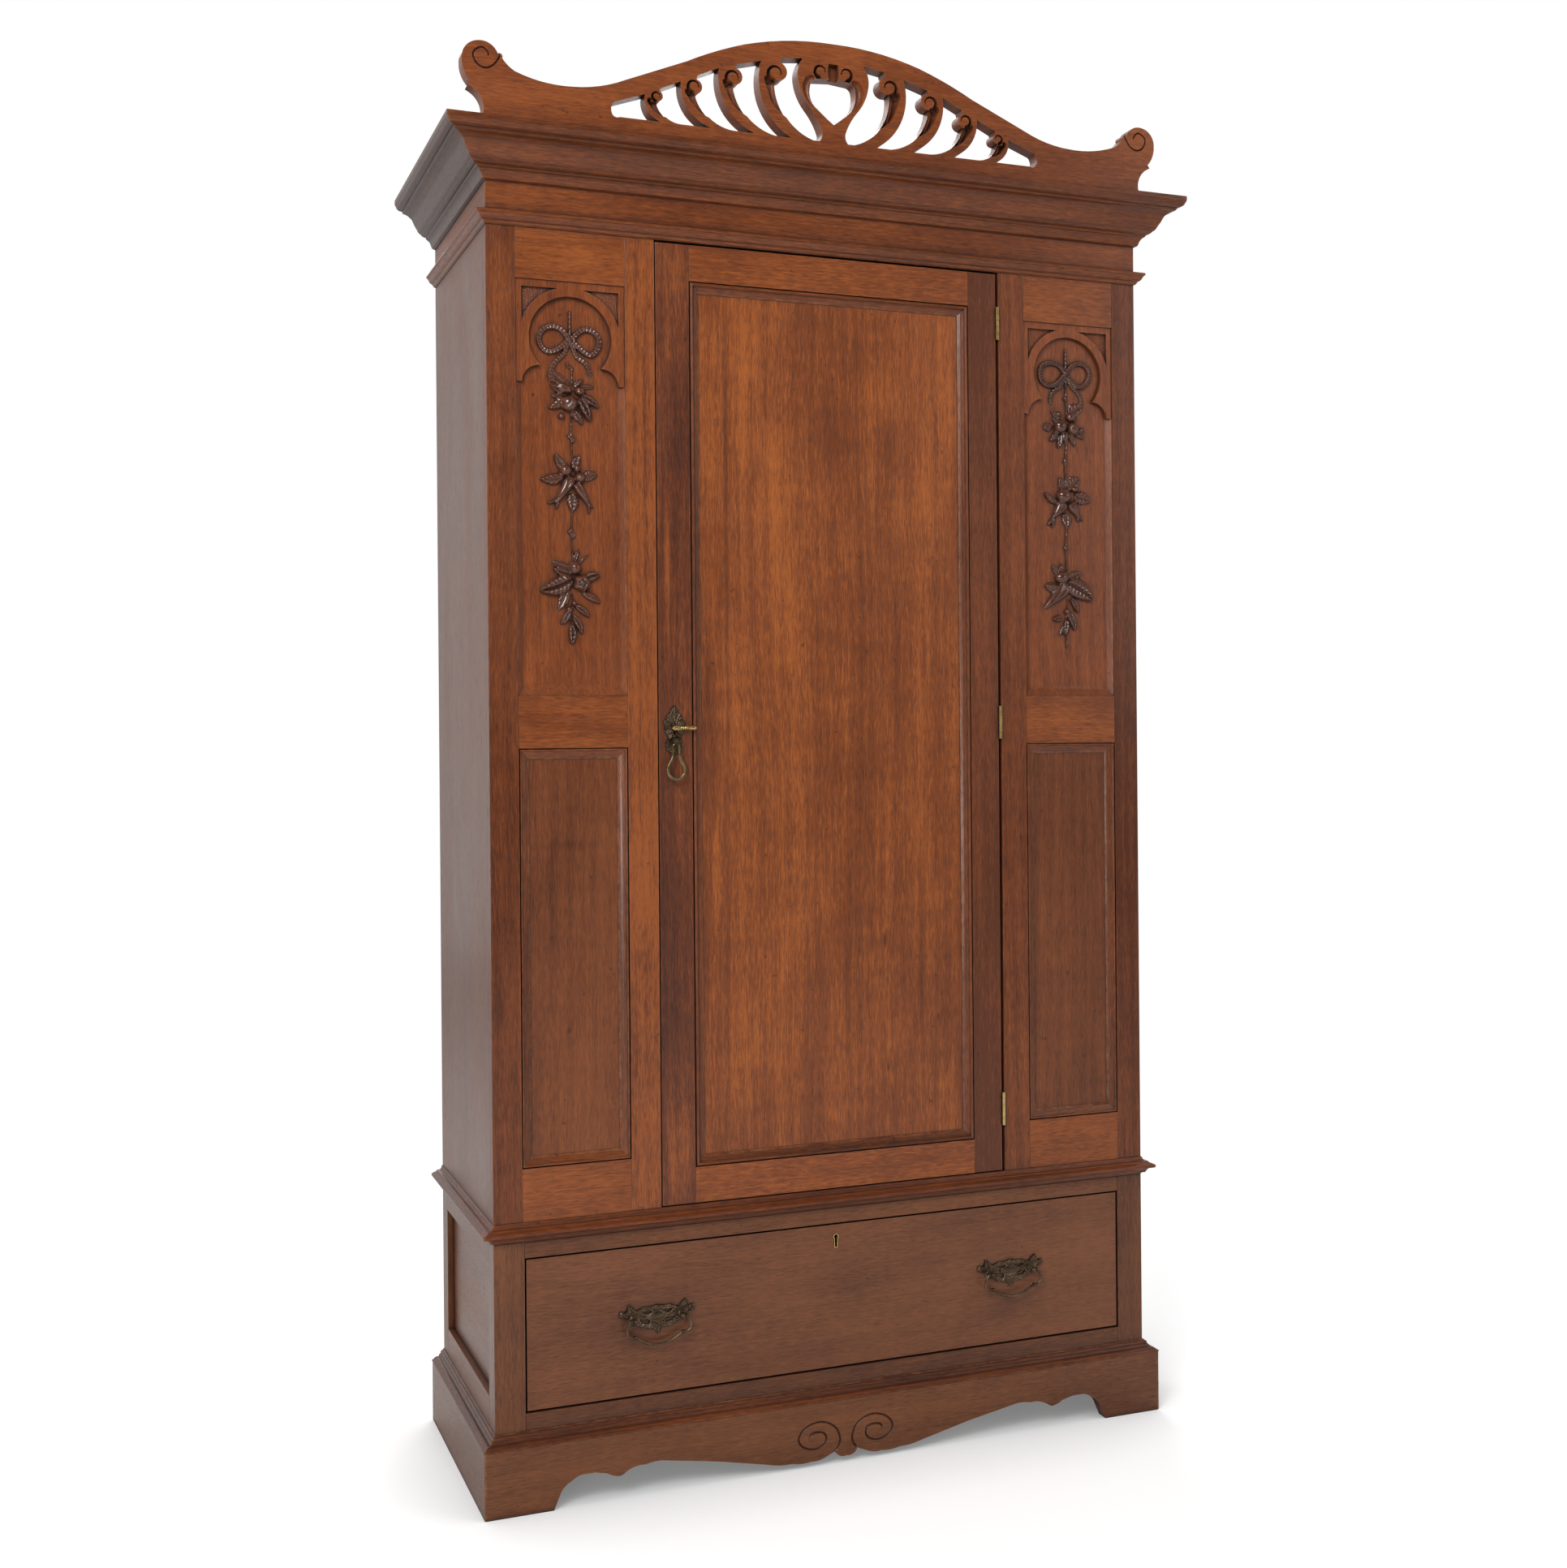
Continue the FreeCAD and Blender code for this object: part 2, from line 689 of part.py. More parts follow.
def ribbon_loop(side):
    x, z = drop_place(side * ribbon_spread_share, ribbon_drop_share)

    def oval(inset, y0, y1):
        rows = []
        for index in range(ribbon_sides):
            turn = math.tau * index / ribbon_sides
            rows.append((x + (ribbon_half_width - inset) * math.cos(turn),
                         z + (ribbon_half_height - inset) * math.sin(turn), 0.0))
        return front_plate(rows, y0, y1)

    outer = oval(0.0, field_face - ribbon_lift, field_face)
    return outer.cut(oval(ribbon_band, field_face - ribbon_lift - overrun, field_face + overrun))


def fruit(shares):
    across, down, radius_share = shares
    x, z = drop_place(across, down)
    radius = radius_share * drop_width
    lift = radius * (1 + fruit_lift_share)
    rows = [(up_share * lift, out_share * radius) for up_share, out_share in fruit_shape_shares]
    return turned(rows, point(x, field_face, z), point(0, -1, 0), fruit_sides)


def carving():
    x, pin_top = drop_place(0.0, 0.0)
    last_z = drop_place(0.0, stem_end_share)[1]
    stem = block(x - stem_half, x + stem_half, field_face - stem_lift, field_face, last_z, pin_top)
    knot_z = drop_place(0.0, ribbon_drop_share)[1]
    pieces = [ribbon_loop(-1), ribbon_loop(1), y_pin(x, knot_z, knot_radius, field_face - knot_radius,
                                                     field_face)]
    pieces += [leaf(shares, ribbon_lift) for shares in tail_shares]
    pieces += [leaf(shares, leaf_lift) for shares in leaf_shares]
    pieces += [fruit(shares) for shares in fruit_shares]
    return joined(stem, *pieces)


def carving_right():
    return [carving()]


def carving_left():
    return [mirrored(carving())]


# Door: stiles, rails, a grooved panel and a proud mitred moulding
door_lock_gap = 1.5
door_hinge_gap = 4.5
door_foot_gap = 1.5
door_head_gap = 3.0
door_stop_gap = 0.5
door_lock_stile_width = 51.5
door_hinge_stile_width = 48.5
door_top_rail = 54.0
door_bottom_rail = 53.0
door_recess = 8.0
door_bead_proud = 1.5
door_mould_width = 15.0
door_left = door_lock_gap - door_bay_half
door_right = door_bay_half - door_hinge_gap
door_base = upper_base + door_foot_gap
door_top = frieze_base - door_head_gap
door_back = frame_back - door_stop_gap
door_panel_left = door_left + door_lock_stile_width
door_panel_right = door_right - door_hinge_stile_width
door_panel_base = door_base + door_bottom_rail
door_panel_top = door_top - door_top_rail
door_mould_shares = [
    (0.0, 0.0, 0.0), (1.0, 0.0, 0.0), (1.0, 0.08, 0.0), (0.88, 0.2, 0.0), (0.5, 0.5, -0.06),
    (0.36, 0.72, 0.06),
    (0.34, 0.82, 0.0), (0.14, 1.0, -0.25), (0.0, 0.86, -0.2),
]


def door_panel_space(margin):
    face = front + door_recess
    return block(door_panel_left - margin, door_panel_right + margin, face, face + panel_stock,
                 door_panel_base - margin, door_panel_top + margin)


def door_member(x0, x1, z0, z1):
    member = block(x0, x1, front, door_back, z0, z1)
    return minus(member, door_panel_space(groove_depth))


def door_lock_stile():
    stile = door_member(door_left, door_panel_left, door_base, door_top)
    return [minus(stile, lock_space(), keyhole(keyhole_radius, front - overrun, door_back + overrun))]


def door_hinge_stile():
    return [door_member(door_panel_right, door_right, door_base, door_top)]


def door_rails():
    lower = door_member(door_panel_left, door_panel_right, door_base, door_panel_base)
    upper = door_member(door_panel_left, door_panel_right, door_panel_top, door_top)
    return [lower, upper]


def door_panel():
    return [door_panel_space(groove_depth - groove_fit)]


def door_mould():
    profile = scaled(door_mould_shares, door_mould_width, door_recess + door_bead_proud)
    return mitred_frame(profile, door_panel_left, door_panel_right, door_panel_base, door_panel_top,
                        front + door_recess)


# Three butt hinges with their knuckles in front of the door's right edge
hinge_length = 52.0
hinge_leaf = 1.6
hinge_leaf_depth = 18.0
knuckle_radius = 2.6
knuckle_count = 5
hinge_pin_radius = 1.2
hinge_foot = 73.5           # from the case's foot up to the lowest hinge
hinge_head = 56.0           # from the case's head down to the highest hinge
hinge_middle_drop = 9.75    # the middle hinge sits this far below halfway
hinge_low = upper_base + hinge_foot
hinge_high = frieze_base - hinge_head - hinge_length
hinge_levels = [hinge_low, (hinge_low + hinge_high) / 2 - hinge_middle_drop, hinge_high]
hinge_x = (door_right + door_bay_half) / 2
hinge_y = front - knuckle_radius - close_fit


def knuckle_span(index, base):
    pitch = hinge_length / knuckle_count
    gap = close_fit if index else 0.0
    return base + index * pitch + gap, base + (index + 1) * pitch


def hinge_leaf_solid(base, x0, x1, knuckles):
    leaf = block(x0, x1, front, front + hinge_leaf_depth, base, base + hinge_length)
    for index in knuckles:
        z0, z1 = knuckle_span(index, base)
        leaf = leaf.fuse(block(x0, x1, hinge_y, front, z0, z1))
        leaf = leaf.fuse(z_pin(hinge_x, hinge_y, z0, z1, knuckle_radius))
    leaf = leaf.removeSplitter()
    bore = z_pin(hinge_x, hinge_y, base - overrun, base + hinge_length + overrun,
                 (hinge_pin_radius + shaft_fit) * clear_share)
    return leaf.cut(bore).Solids[0]


def hinge_frame_leaves():
    odd = range(0, knuckle_count, 2)
    return [hinge_leaf_solid(base, door_bay_half - hinge_leaf, door_bay_half, odd) for base in hinge_levels]


def hinge_door_leaves():
    even = range(1, knuckle_count, 2)
    return [hinge_leaf_solid(base, door_right, door_right + hinge_leaf, even) for base in hinge_levels]


def hinge_pins():
    return [z_pin(hinge_x, hinge_y, base, base + hinge_length, hinge_pin_radius) for base in hinge_levels]


# Door lock, its plate with the keyhole, the key and the drop pull
lock_backset = 23.5         # from the door's edge to the keyhole
lock_height = 708.0         # from the case's foot to the keyhole
lock_x = door_left + lock_backset
lock_z = upper_base + lock_height
plate_stock = 1.6
keyhole_radius = 3.4
lock_case_width = 42.0
lock_case_height = 62.0
lock_case_depth = 12.0
lock_bolt_height = 14.0
lock_bolt_thickness = 4.0
lock_bolt_length = 36.0
lock_bolt_travel = 9.0
lock_bolt_setback = 0.5
lock_wall = 1.2
bit_length = 7.0
bit_thickness = 2.0
bit_depth = 3.5
key_pin_radius = 2.5
strike_stock = 1.5
strike_height = 42.0
strike_depth = 13.0
strike_lead = 4.3           # how far the strike starts in front of the bolt
lock_case_y0 = door_back - lock_case_depth
lock_bolt_y0 = lock_case_y0 + lock_wall
lock_bolt_y1 = lock_bolt_y0 + lock_bolt_thickness
bit_y0 = lock_bolt_y1 + lock_wall
lock_bolt_x0 = door_left + lock_bolt_setback
plate_face = front - plate_stock


def keyhole(radius, y0, y1):
    # A round hole for the pin over a slot that lets the bit through
    slot_half = bit_thickness / 2 + close_fit
    slot = block(lock_x - slot_half, lock_x + slot_half, y0, y1,
                 lock_z - key_pin_radius - bit_length - close_fit, lock_z)
    return joined(y_pin(lock_x, lock_z, radius * clear_share, y0, y1), slot)


def lock_space():
    return block(door_left - overrun, door_left + lock_case_width, lock_case_y0, door_back + overrun,
                 lock_z - lock_case_height / 2, lock_z + lock_case_height / 2)


def lock_bolt_space(gap, travel):
    return block(lock_bolt_x0 - travel, lock_bolt_x0 + lock_bolt_length + gap, lock_bolt_y0 - gap,
                 lock_bolt_y1 + gap,
                 lock_z - lock_bolt_height / 2 - gap, lock_z + lock_bolt_height / 2 + gap)


def lock_case():
    case = block(door_left, door_left + lock_case_width, lock_case_y0, door_back,
                 lock_z - lock_case_height / 2, lock_z + lock_case_height / 2)
    pin_bore = keyhole(key_pin_radius + shaft_fit, lock_case_y0 - overrun, bit_y0)
    bit_room = y_pin(lock_x, lock_z, (key_pin_radius + bit_length + close_fit) * clear_share,
                     bit_y0 - close_fit,
                     bit_y0 + bit_depth + close_fit)
    return [minus(case, lock_bolt_space(close_fit, lock_bolt_travel), pin_bore, bit_room)]


def lock_bolt():
    bolt = lock_bolt_space(0.0, 0.0)
    slot_half = key_pin_radius + close_fit
    notch = block(lock_x - slot_half, lock_x + slot_half + lock_bolt_travel, lock_bolt_y0 - overrun,
                  lock_bolt_y1 + overrun, lock_z - lock_bolt_height / 2 - overrun, lock_z + slot_half)
    return [minus(bolt, notch)]


def strike_space():
    return block(-door_bay_half - strike_stock, -door_bay_half, lock_bolt_y0 - strike_lead,
                 lock_bolt_y0 - strike_lead + strike_depth, lock_z - strike_height / 2,
                 lock_z + strike_height / 2)


def bolt_mortise():
    return lock_bolt_space(close_fit, lock_bolt_travel + lock_bolt_setback + close_fit)


def strike_plate():
    return [minus(strike_space(), bolt_mortise())]


# Right half of the upper plate from top to waist, then the round lower plate:
# shares of the plate's half width and of its height above the keyhole
plate_half = 16.0
plate_rise = 34.0
plate_drop = 25.0
lower_plate_radius = 13.5
plate_shares = [
    (0.0, 1.0, 0.0), (0.3, 0.84, 0.0), (0.42, 0.62, 0.0), (0.72, 0.52, 0.25), (0.8, 0.36, 0.0),
    (1.0, 0.22, 0.3),
    (0.88, 0.0, 0.0), (0.92, -0.16, 0.25), (0.56, -0.4, 0.0), (0.5, -0.62, 0.0), (0.0, -0.62, 0.0),
]


def lock_plate():
    rows = mirrored_outline(scaled(plate_shares, plate_half, plate_rise, z=lock_z))
    upper = front_plate(rows, plate_face, front)
    upper.translate(point(lock_x, 0, 0))
    lower = y_rod(lock_x, lock_z - plate_drop, lower_plate_radius, plate_face, front)
    plate = joined(upper, lower)
    return [minus(plate, keyhole(keyhole_radius, plate_face - overrun, front + overrun))]


key_standoff = 7.5
key_bulb_radius = 3.6
key_length = 36.0
key_tail = 4.5
key_axis_y = plate_face - key_standoff
# Shares of the key lever's length and of its bulb's radius
key_shares = [
    (-0.15, 0.4), (-0.08, 1.0), (0.08, 1.0), (0.3, 0.6), (0.34, 0.9), (0.38, 0.6), (0.42, 0.9), (0.46, 0.6),
    (0.5, 0.9), (0.54, 0.55), (0.7, 0.8), (0.84, 0.75), (0.9, 0.2),
]


def key():
    rows = [(along_share * key_length, out_share * key_bulb_radius) for along_share, out_share in key_shares]
    lever = turned(rows, point(lock_x, key_axis_y, lock_z), point(1, 0, 0))
    pin = y_pin(lock_x, lock_z, key_pin_radius, key_axis_y, bit_y0 + bit_depth)
    bit = block(lock_x - bit_thickness / 2, lock_x + bit_thickness / 2, bit_y0, bit_y0 + bit_depth,
                lock_z - key_pin_radius - bit_length, lock_z)
    return [joined(lever, pin, bit)]


pull_below = 18.0           # from the keyhole down to the pull's pin
pull_standoff = 9.0
pull_boss_radius = 6.0
pull_boss_depth = 3.0
pull_lug = 2.0
pull_lug_radius = 3.2
pull_eye_half = 3.2
pull_eye_radius = 2.8
pull_pin_radius = 1.2
pull_rod_radius = 1.7
pull_neck_half = 4.9
pull_neck_length = 12.6
pull_swell_height = 23.0
pull_half = 13.0
pull_y = plate_face - pull_standoff
pull_z = lock_z - pull_below


def pull_post():
    boss = y_pin(lock_x, pull_z, pull_boss_radius, plate_face - pull_boss_depth, plate_face)
    pin = x_pin(lock_x - pull_eye_half - close_fit - pull_lug, lock_x + pull_eye_half + close_fit + pull_lug,
                pull_y, pull_z, pull_pin_radius)
    post = joined(boss, pin)
    for side in (-1, 1):
        inner = side * (pull_eye_half + close_fit)
        outer = inner + side * pull_lug
        x0, x1 = lock_x + min(inner, outer), lock_x + max(inner, outer)
        arm = block(x0, x1, pull_y, plate_face - pull_boss_depth, pull_z - pull_lug_radius,
                    pull_z + pull_lug_radius)
        post = joined(post, arm, x_pin(x0, x1, pull_y, pull_z, pull_lug_radius))
    return [post]


def drop_pull():
    top = pull_z - pull_lug_radius - close_fit - pull_rod_radius - pull_neck_half
    neck = top - pull_neck_length
    swell = neck - pull_swell_height
    right = lock_x + pull_neck_half
    wide = lock_x + pull_half
    middle_x, middle_z = (right + wide) / 2, (neck + swell) / 2
    bow_share = math.tan(math.atan2(wide - middle_x, middle_z - swell) / 2) / 2
    rows = [
        (lock_x, top + pull_neck_half, 0.0), (right, top, quarter_bow_share), (right, neck, 0.0),
        (middle_x, middle_z, -bow_share), (wide, swell, bow_share),
        (lock_x, swell - pull_half, quarter_bow_share),
    ]
    half_loop = bent_rod(rows, pull_y, pull_rod_radius)
    other = half_loop.mirror(point(lock_x, 0, 0), point(1, 0, 0))
    eye = x_pin(lock_x - pull_eye_half, lock_x + pull_eye_half, pull_y, pull_z, pull_eye_radius)
    web = block(lock_x - pull_eye_half, lock_x + pull_eye_half, pull_y - pull_rod_radius,
                pull_y + pull_rod_radius,
                top + pull_neck_half - pull_rod_radius, pull_z)
    bore = x_pin(lock_x - pull_eye_half - overrun, lock_x + pull_eye_half + overrun, pull_y, pull_z,
                 (pull_pin_radius + shaft_fit) * clear_share)
    return [minus(joined(half_loop, other, eye, web), bore)]


# Drawer
drawer_gap = 1.5
drawer_recess = 1.8
drawer_front_stock = 21.0
drawer_side_stock = 13.0
drawer_side_drop = 21.5     # from the front's top edge down to the sides
drawer_stop_gap = 2.2
drawer_bottom_stock = 6.0
drawer_bottom_lift = 10.0
drawer_back_drop = 12.0
drawer_half = opening_half - drawer_gap
drawer_base = opening_base + drawer_gap
drawer_top = opening_top - drawer_gap
drawer_face = front + drawer_recess
drawer_front_back = drawer_face + drawer_front_stock
drawer_tail = board_back - stop_depth - drawer_stop_gap
drawer_side_top = drawer_top - drawer_side_drop
drawer_lock_half = 30.0
drawer_lock_depth = 10.0
drawer_lock_drop = 46.0
drawer_bolt_half = 11.0
drawer_bolt_thickness = 4.0
drawer_bolt_travel = 8.0
drawer_bolt_height = 30.0
drawer_bolt_setback = 0.5
drawer_keyhole_x = -6.5
drawer_lock_y0 = drawer_front_back - drawer_lock_depth
drawer_bolt_y0 = drawer_lock_y0 + lock_wall
drawer_bolt_y1 = drawer_bolt_y0 + drawer_bolt_thickness
drawer_bolt_x0 = drawer_keyhole_x - drawer_bolt_half
drawer_bolt_x1 = drawer_keyhole_x + drawer_bolt_half


def drawer_bottom_space(fit):
    inner = drawer_half - drawer_side_stock
    z0 = drawer_base + drawer_bottom_lift
    return block(-inner - groove_depth / 2 + fit, inner + groove_depth / 2 - fit,
                 drawer_front_back - groove_depth / 2 + fit, drawer_tail, z0, z0 + drawer_bottom_stock)


def drawer_lock_space():
    return block(drawer_keyhole_x - drawer_lock_half, drawer_keyhole_x + drawer_lock_half, drawer_lock_y0,
                 drawer_front_back, drawer_top - drawer_lock_drop, drawer_top)


def drawer_front():
    board = block(-drawer_half, drawer_half, drawer_face, drawer_front_back, drawer_base, drawer_top)
    holes = [y_pin(x, handle_z, (handle_shank_radius + close_fit) * clear_share, drawer_face - overrun,
                   drawer_front_back + overrun) for x in handle_post_places()]
    return [minus(board, drawer_bottom_space(0.0), drawer_lock_space(),
                  escutcheon_solid(drawer_face, drawer_lock_y0),
                  *holes)]


def drawer_sides():
    side = block(drawer_half - drawer_side_stock, drawer_half, drawer_front_back, drawer_tail,
                 drawer_base, drawer_side_top)
    return pair(minus(side, drawer_bottom_space(0.0)))


def drawer_back():
    inner = drawer_half - drawer_side_stock
    return [block(-inner, inner, drawer_tail - drawer_side_stock, drawer_tail,
                  drawer_base + drawer_bottom_lift + drawer_bottom_stock,
                  drawer_side_top - drawer_back_drop)]


def drawer_bottom():
    return [drawer_bottom_space(groove_fit)]


def drawer_bolt_space(gap, travel):
    z1 = drawer_top - drawer_bolt_setback
    return block(drawer_bolt_x0 - gap, drawer_bolt_x1 + gap, drawer_bolt_y0 - gap, drawer_bolt_y1 + gap,
                 z1 - drawer_bolt_height - gap, z1 + travel)


def drawer_lock():
    return [minus(drawer_lock_space(), drawer_bolt_space(close_fit, drawer_bolt_travel),
                  escutcheon_keyhole(drawer_lock_y0 - overrun, drawer_bolt_y0))]


def drawer_bolt():
    return [drawer_bolt_space(0.0, 0.0)]


# Keyhole lining of the drawer: a round head over a tapering tail
escutcheon_head = 4.5
escutcheon_drop = 19.5      # from the drawer's top edge to the head's centre
escutcheon_length = 21.7
escutcheon_tail_half = 2.9
escutcheon_wall = 1.3
escutcheon_proud = 0.8
escutcheon_depth = 6.0
escutcheon_z = drawer_top - escutcheon_drop
escutcheon_shoulder_share = 0.7             # where the head's curve meets the tail, of its radius


def escutcheon_outline(inset):
    radius = escutcheon_head - inset
    foot = escutcheon_z + escutcheon_head - escutcheon_length + inset
    tail = escutcheon_tail_half - inset
    reach = radius * escutcheon_shoulder_share
    shoulder = escutcheon_z - reach
    x = drawer_keyhole_x
    return [
        (x + radius, escutcheon_z, quarter_bow_share), (x + reach, shoulder, eighth_bow_share),
        (x + tail, foot, 0.0), (x - tail, foot, 0.0),
        (x - reach, shoulder, 0.0), (x - radius, escutcheon_z, eighth_bow_share),
        (x, escutcheon_z + radius, quarter_bow_share),
    ]


def escutcheon_solid(y0, y1):
    return front_plate(escutcheon_outline(0.0), y0, y1)


def escutcheon_keyhole(y0, y1):
    return front_plate(escutcheon_outline(escutcheon_wall), y0, y1)


def escutcheon():
    y0, y1 = drawer_face - escutcheon_proud, drawer_face + escutcheon_depth
    return [minus(escutcheon_solid(y0, y1), escutcheon_keyhole(y0 - overrun, y1 + overrun))]


# Drawer handles: a pierced plate, two posts with ball heads and a swinging bail
handle_inset = 194.0        # from the drawer's end to the handle's centre
handle_lift = 113.5         # from the drawer's foot to the posts
handle_post_spread = 36.5
handle_plate_half = 57.5
handle_plate_rise = 18.0
handle_shank_radius = 2.2
handle_stem_radius = 2.8
handle_standoff = 11.0
handle_ball_radius = 3.8
handle_ball_shares = [(-1.0, 0.5), (-0.6, 0.95), (0.6, 0.95), (1.0, 0.5)]
handle_nut_half = 5.5
handle_nut_stock = 3.0
bail_pin_radius = 1.5
bail_rod_radius = 1.9
bail_eye_half = 1.6
bail_eye_radius = 3.0
bail_reach = 12.0           # how far the swan necks stand outside the posts
bail_drop = 38.0
bail_shoulder_share = 0.42  # where the swan neck is widest, of the drop
bail_collar_share = 0.62    # where the collars sit, of the drop
bail_neck_bow_share = 0.12
bail_collar_radius = 2.9
bail_collar_half = 1.5
handle_x = drawer_half - handle_inset
handle_z = drawer_base + handle_lift
handle_plate_face = drawer_face - plate_stock
bail_y = handle_plate_face - handle_standoff
# Right half of the plate from its top to its foot: shares of half width and rise
handle_plate_shares = [
    (0.0, 1.0, 0.0), (0.2, 0.86, 0.0), (0.34, 0.9, 0.0), (0.5, 0.7, 0.0), (0.62, 0.86, -0.25),
    (0.76, 1.22, 0.0),
    (0.8, 0.72, 0.0), (0.88, 0.6, 0.0), (1.0, 0.56, 0.4), (0.9, 0.2, 0.3), (0.78, 0.1, 0.0),
    (0.68, -0.42, 0.2),
    (0.46, -0.62, 0.0), (0.3, -0.86, 0.2), (0.1, -0.98, 0.0), (0.0, -1.36, 0.0),
]
handle_window_shares = [(0.14, 0.56, 0.0), (0.4, 0.5, 0.0), (0.3, 0.3, 0.0), (0.14, 0.42, 0.0)]
handle_lower_window_shares = [(0.2, -0.2, 0.0), (0.46, -0.12, 0.0), (0.4, -0.4, 0.0), (0.22, -0.5, 0.0)]


def handle_post_places():
    return [side * handle_x + post * handle_post_spread for side in (-1, 1) for post in (-1, 1)]


def handle_plate():
    rows = mirrored_outline(scaled(handle_plate_shares, handle_plate_half, handle_plate_rise, z=handle_z))
    plate = front_plate(rows, handle_plate_face, drawer_face)
    for shares in (handle_window_shares, handle_lower_window_shares):
        window = front_plate(scaled(shares, handle_plate_half, handle_plate_rise, z=handle_z),
                             handle_plate_face - overrun, drawer_face + overrun)
        plate = plate.cut(window).cut(mirrored(window))
    for side in (-1, 1):
        plate = plate.cut(y_pin(side * handle_post_spread, handle_z,
                                (handle_shank_radius + close_fit) * clear_share,
                                handle_plate_face - overrun, drawer_face + overrun))
    return plate.Solids[0]


def handle_plates():
    plates = []
    for side in (-1, 1):
        plate = handle_plate()
        plate.translate(point(side * handle_x, 0, 0))
        plates.append(plate)
    return plates


def handle_posts():
    posts = []
    nut_back = drawer_front_back + handle_nut_stock
    for x in handle_post_places():
        rows = [(along * handle_ball_radius, out * handle_ball_radius) for along, out in handle_ball_shares]
        ball = turned(rows, point(x, bail_y, handle_z), point(1, 0, 0))
        stem = y_pin(x, handle_z, handle_stem_radius, bail_y, handle_plate_face)
        shank = y_pin(x, handle_z, handle_shank_radius, bail_y, nut_back)
        bore = x_pin(x - handle_ball_radius - overrun, x + handle_ball_radius + overrun, bail_y, handle_z,
                     (bail_pin_radius + shaft_fit) * clear_share)
        posts.append(minus(joined(ball, stem, shank), bore))
        nut = block(x - handle_nut_half, x + handle_nut_half, drawer_front_back, nut_back,
                    handle_z - handle_nut_half, handle_z + handle_nut_half)
        posts.append(minus(nut, y_pin(x, handle_z, handle_shank_radius, drawer_front_back - overrun,
                                      nut_back + overrun)))
    return posts


def bail_at(centre):
    eye_x = handle_post_spread + handle_ball_radius + close_fit
    eye_centre = eye_x + bail_eye_half
    neck_x = handle_post_spread + bail_reach
    shoulder_z = handle_z - bail_drop * bail_shoulder_share
    collar_x = handle_post_spread
    collar_z = handle_z - bail_drop * bail_collar_share
    eye_place = (eye_centre, handle_z)
    shoulder_place = (neck_x, shoulder_z)
    collar_place = (collar_x, collar_z)
    lower_bow_share = following_bow_share(eye_place, shoulder_place, collar_place, bail_neck_bow_share)
    grip_bow_share = bail_drop * (1 - bail_collar_share) / (2 * collar_x)
    rod = bent_rod([
        (*eye_place, 0.0), (*shoulder_place, bail_neck_bow_share), (*collar_place, lower_bow_share),
        (-collar_x, collar_z, grip_bow_share), (-neck_x, shoulder_z, lower_bow_share),
        (-eye_centre, handle_z, bail_neck_bow_share),
    ], bail_y, bail_rod_radius)
    eye = x_pin(eye_x, eye_x + 2 * bail_eye_half, bail_y, handle_z, bail_eye_radius)
    pin = x_pin(handle_post_spread - handle_ball_radius, eye_x, bail_y, handle_z, bail_pin_radius)
    collar = x_pin(collar_x - bail_collar_half, collar_x + bail_collar_half, bail_y, collar_z,
                   bail_collar_radius)
    bail = rod
    for piece in both([eye, pin, collar]):
        bail = bail.fuse(piece)
    bail = bail.Solids[0]
    bail.translate(point(centre, 0, 0))
    return bail


def bail_left():
    return [bail_at(-handle_x)]


def bail_right():
    return [bail_at(handle_x)]


# Frieze and cornice frame that lifts off the upper case
necking_height = 23.0
necking_reach = 14.2
necking_shares = [
    (0.0, 0.0, 0.0), (0.22, 0.08, 0.0), (0.36, 0.24, 0.0), (0.74, 0.45, -0.12), (0.78, 0.5, 0.0),
    (1.0, 0.66, 0.1),
    (1.0, 0.78, -0.2), (0.88, 0.84, -0.2), (0.4, 0.93, 0.0), (0.0, 1.0, 0.0),
]
cornice_shares = [
    (0.0, 0.0, 0.0), (0.08, 0.03, 0.0), (0.11, 0.1, 0.0), (0.22, 0.21, 0.12), (0.235, 0.25, 0.0),
    (0.36, 0.31, -0.12), (0.45, 0.4, -0.1), (0.52, 0.5, 0.0), (0.56, 0.58, 0.0), (0.63, 0.65, 0.08),
    (0.8, 0.72, 0.1), (0.82, 0.77, 0.0), (0.91, 0.79, -0.1), (0.97, 0.86, -0.12), (1.0, 0.94, -0.1),
    (1.0, 1.0, 0.0),
    (0.0, 1.0, 0.0),
]
cornice_top_stock = 9.0


def frieze():
    board = block(-half, half, front, frame_back, frieze_base, cornice_top_level)
    side = block(half - side_stock, half, frame_back, back, frieze_base, cornice_top_level)
    inside = half - side_stock
    rear = block(-inside, inside, back - side_stock, back, frieze_base, cornice_top_level)
    return [board, rear] + pair(side)


def necking_mould():
    return mitred_surround(scaled(necking_shares, necking_reach, necking_height, z=frieze_base), half,
                           front, back)


def cornice_mould():
    return mitred_surround(scaled(cornice_shares, cornice_projection, cornice_height, z=cornice_base),
                           half, front, back)


def cornice_top():
    inside = half - side_stock
    return [block(-inside, inside, frame_back, back - side_stock, cornice_top_level - cornice_top_stock,
                  cornice_top_level)]


# Crest: a pierced scrolled board with S-scroll tendrils and a heart at its centre
crest_inset = 30.5          # from the cornice's end in to the crest's
crest_half = half + cornice_projection - crest_inset
crest_stock = 25.0
crest_setback = 52.0        # behind the cornice's front edge
crest_front = front - cornice_projection + crest_setback
crest_back = crest_front + crest_stock
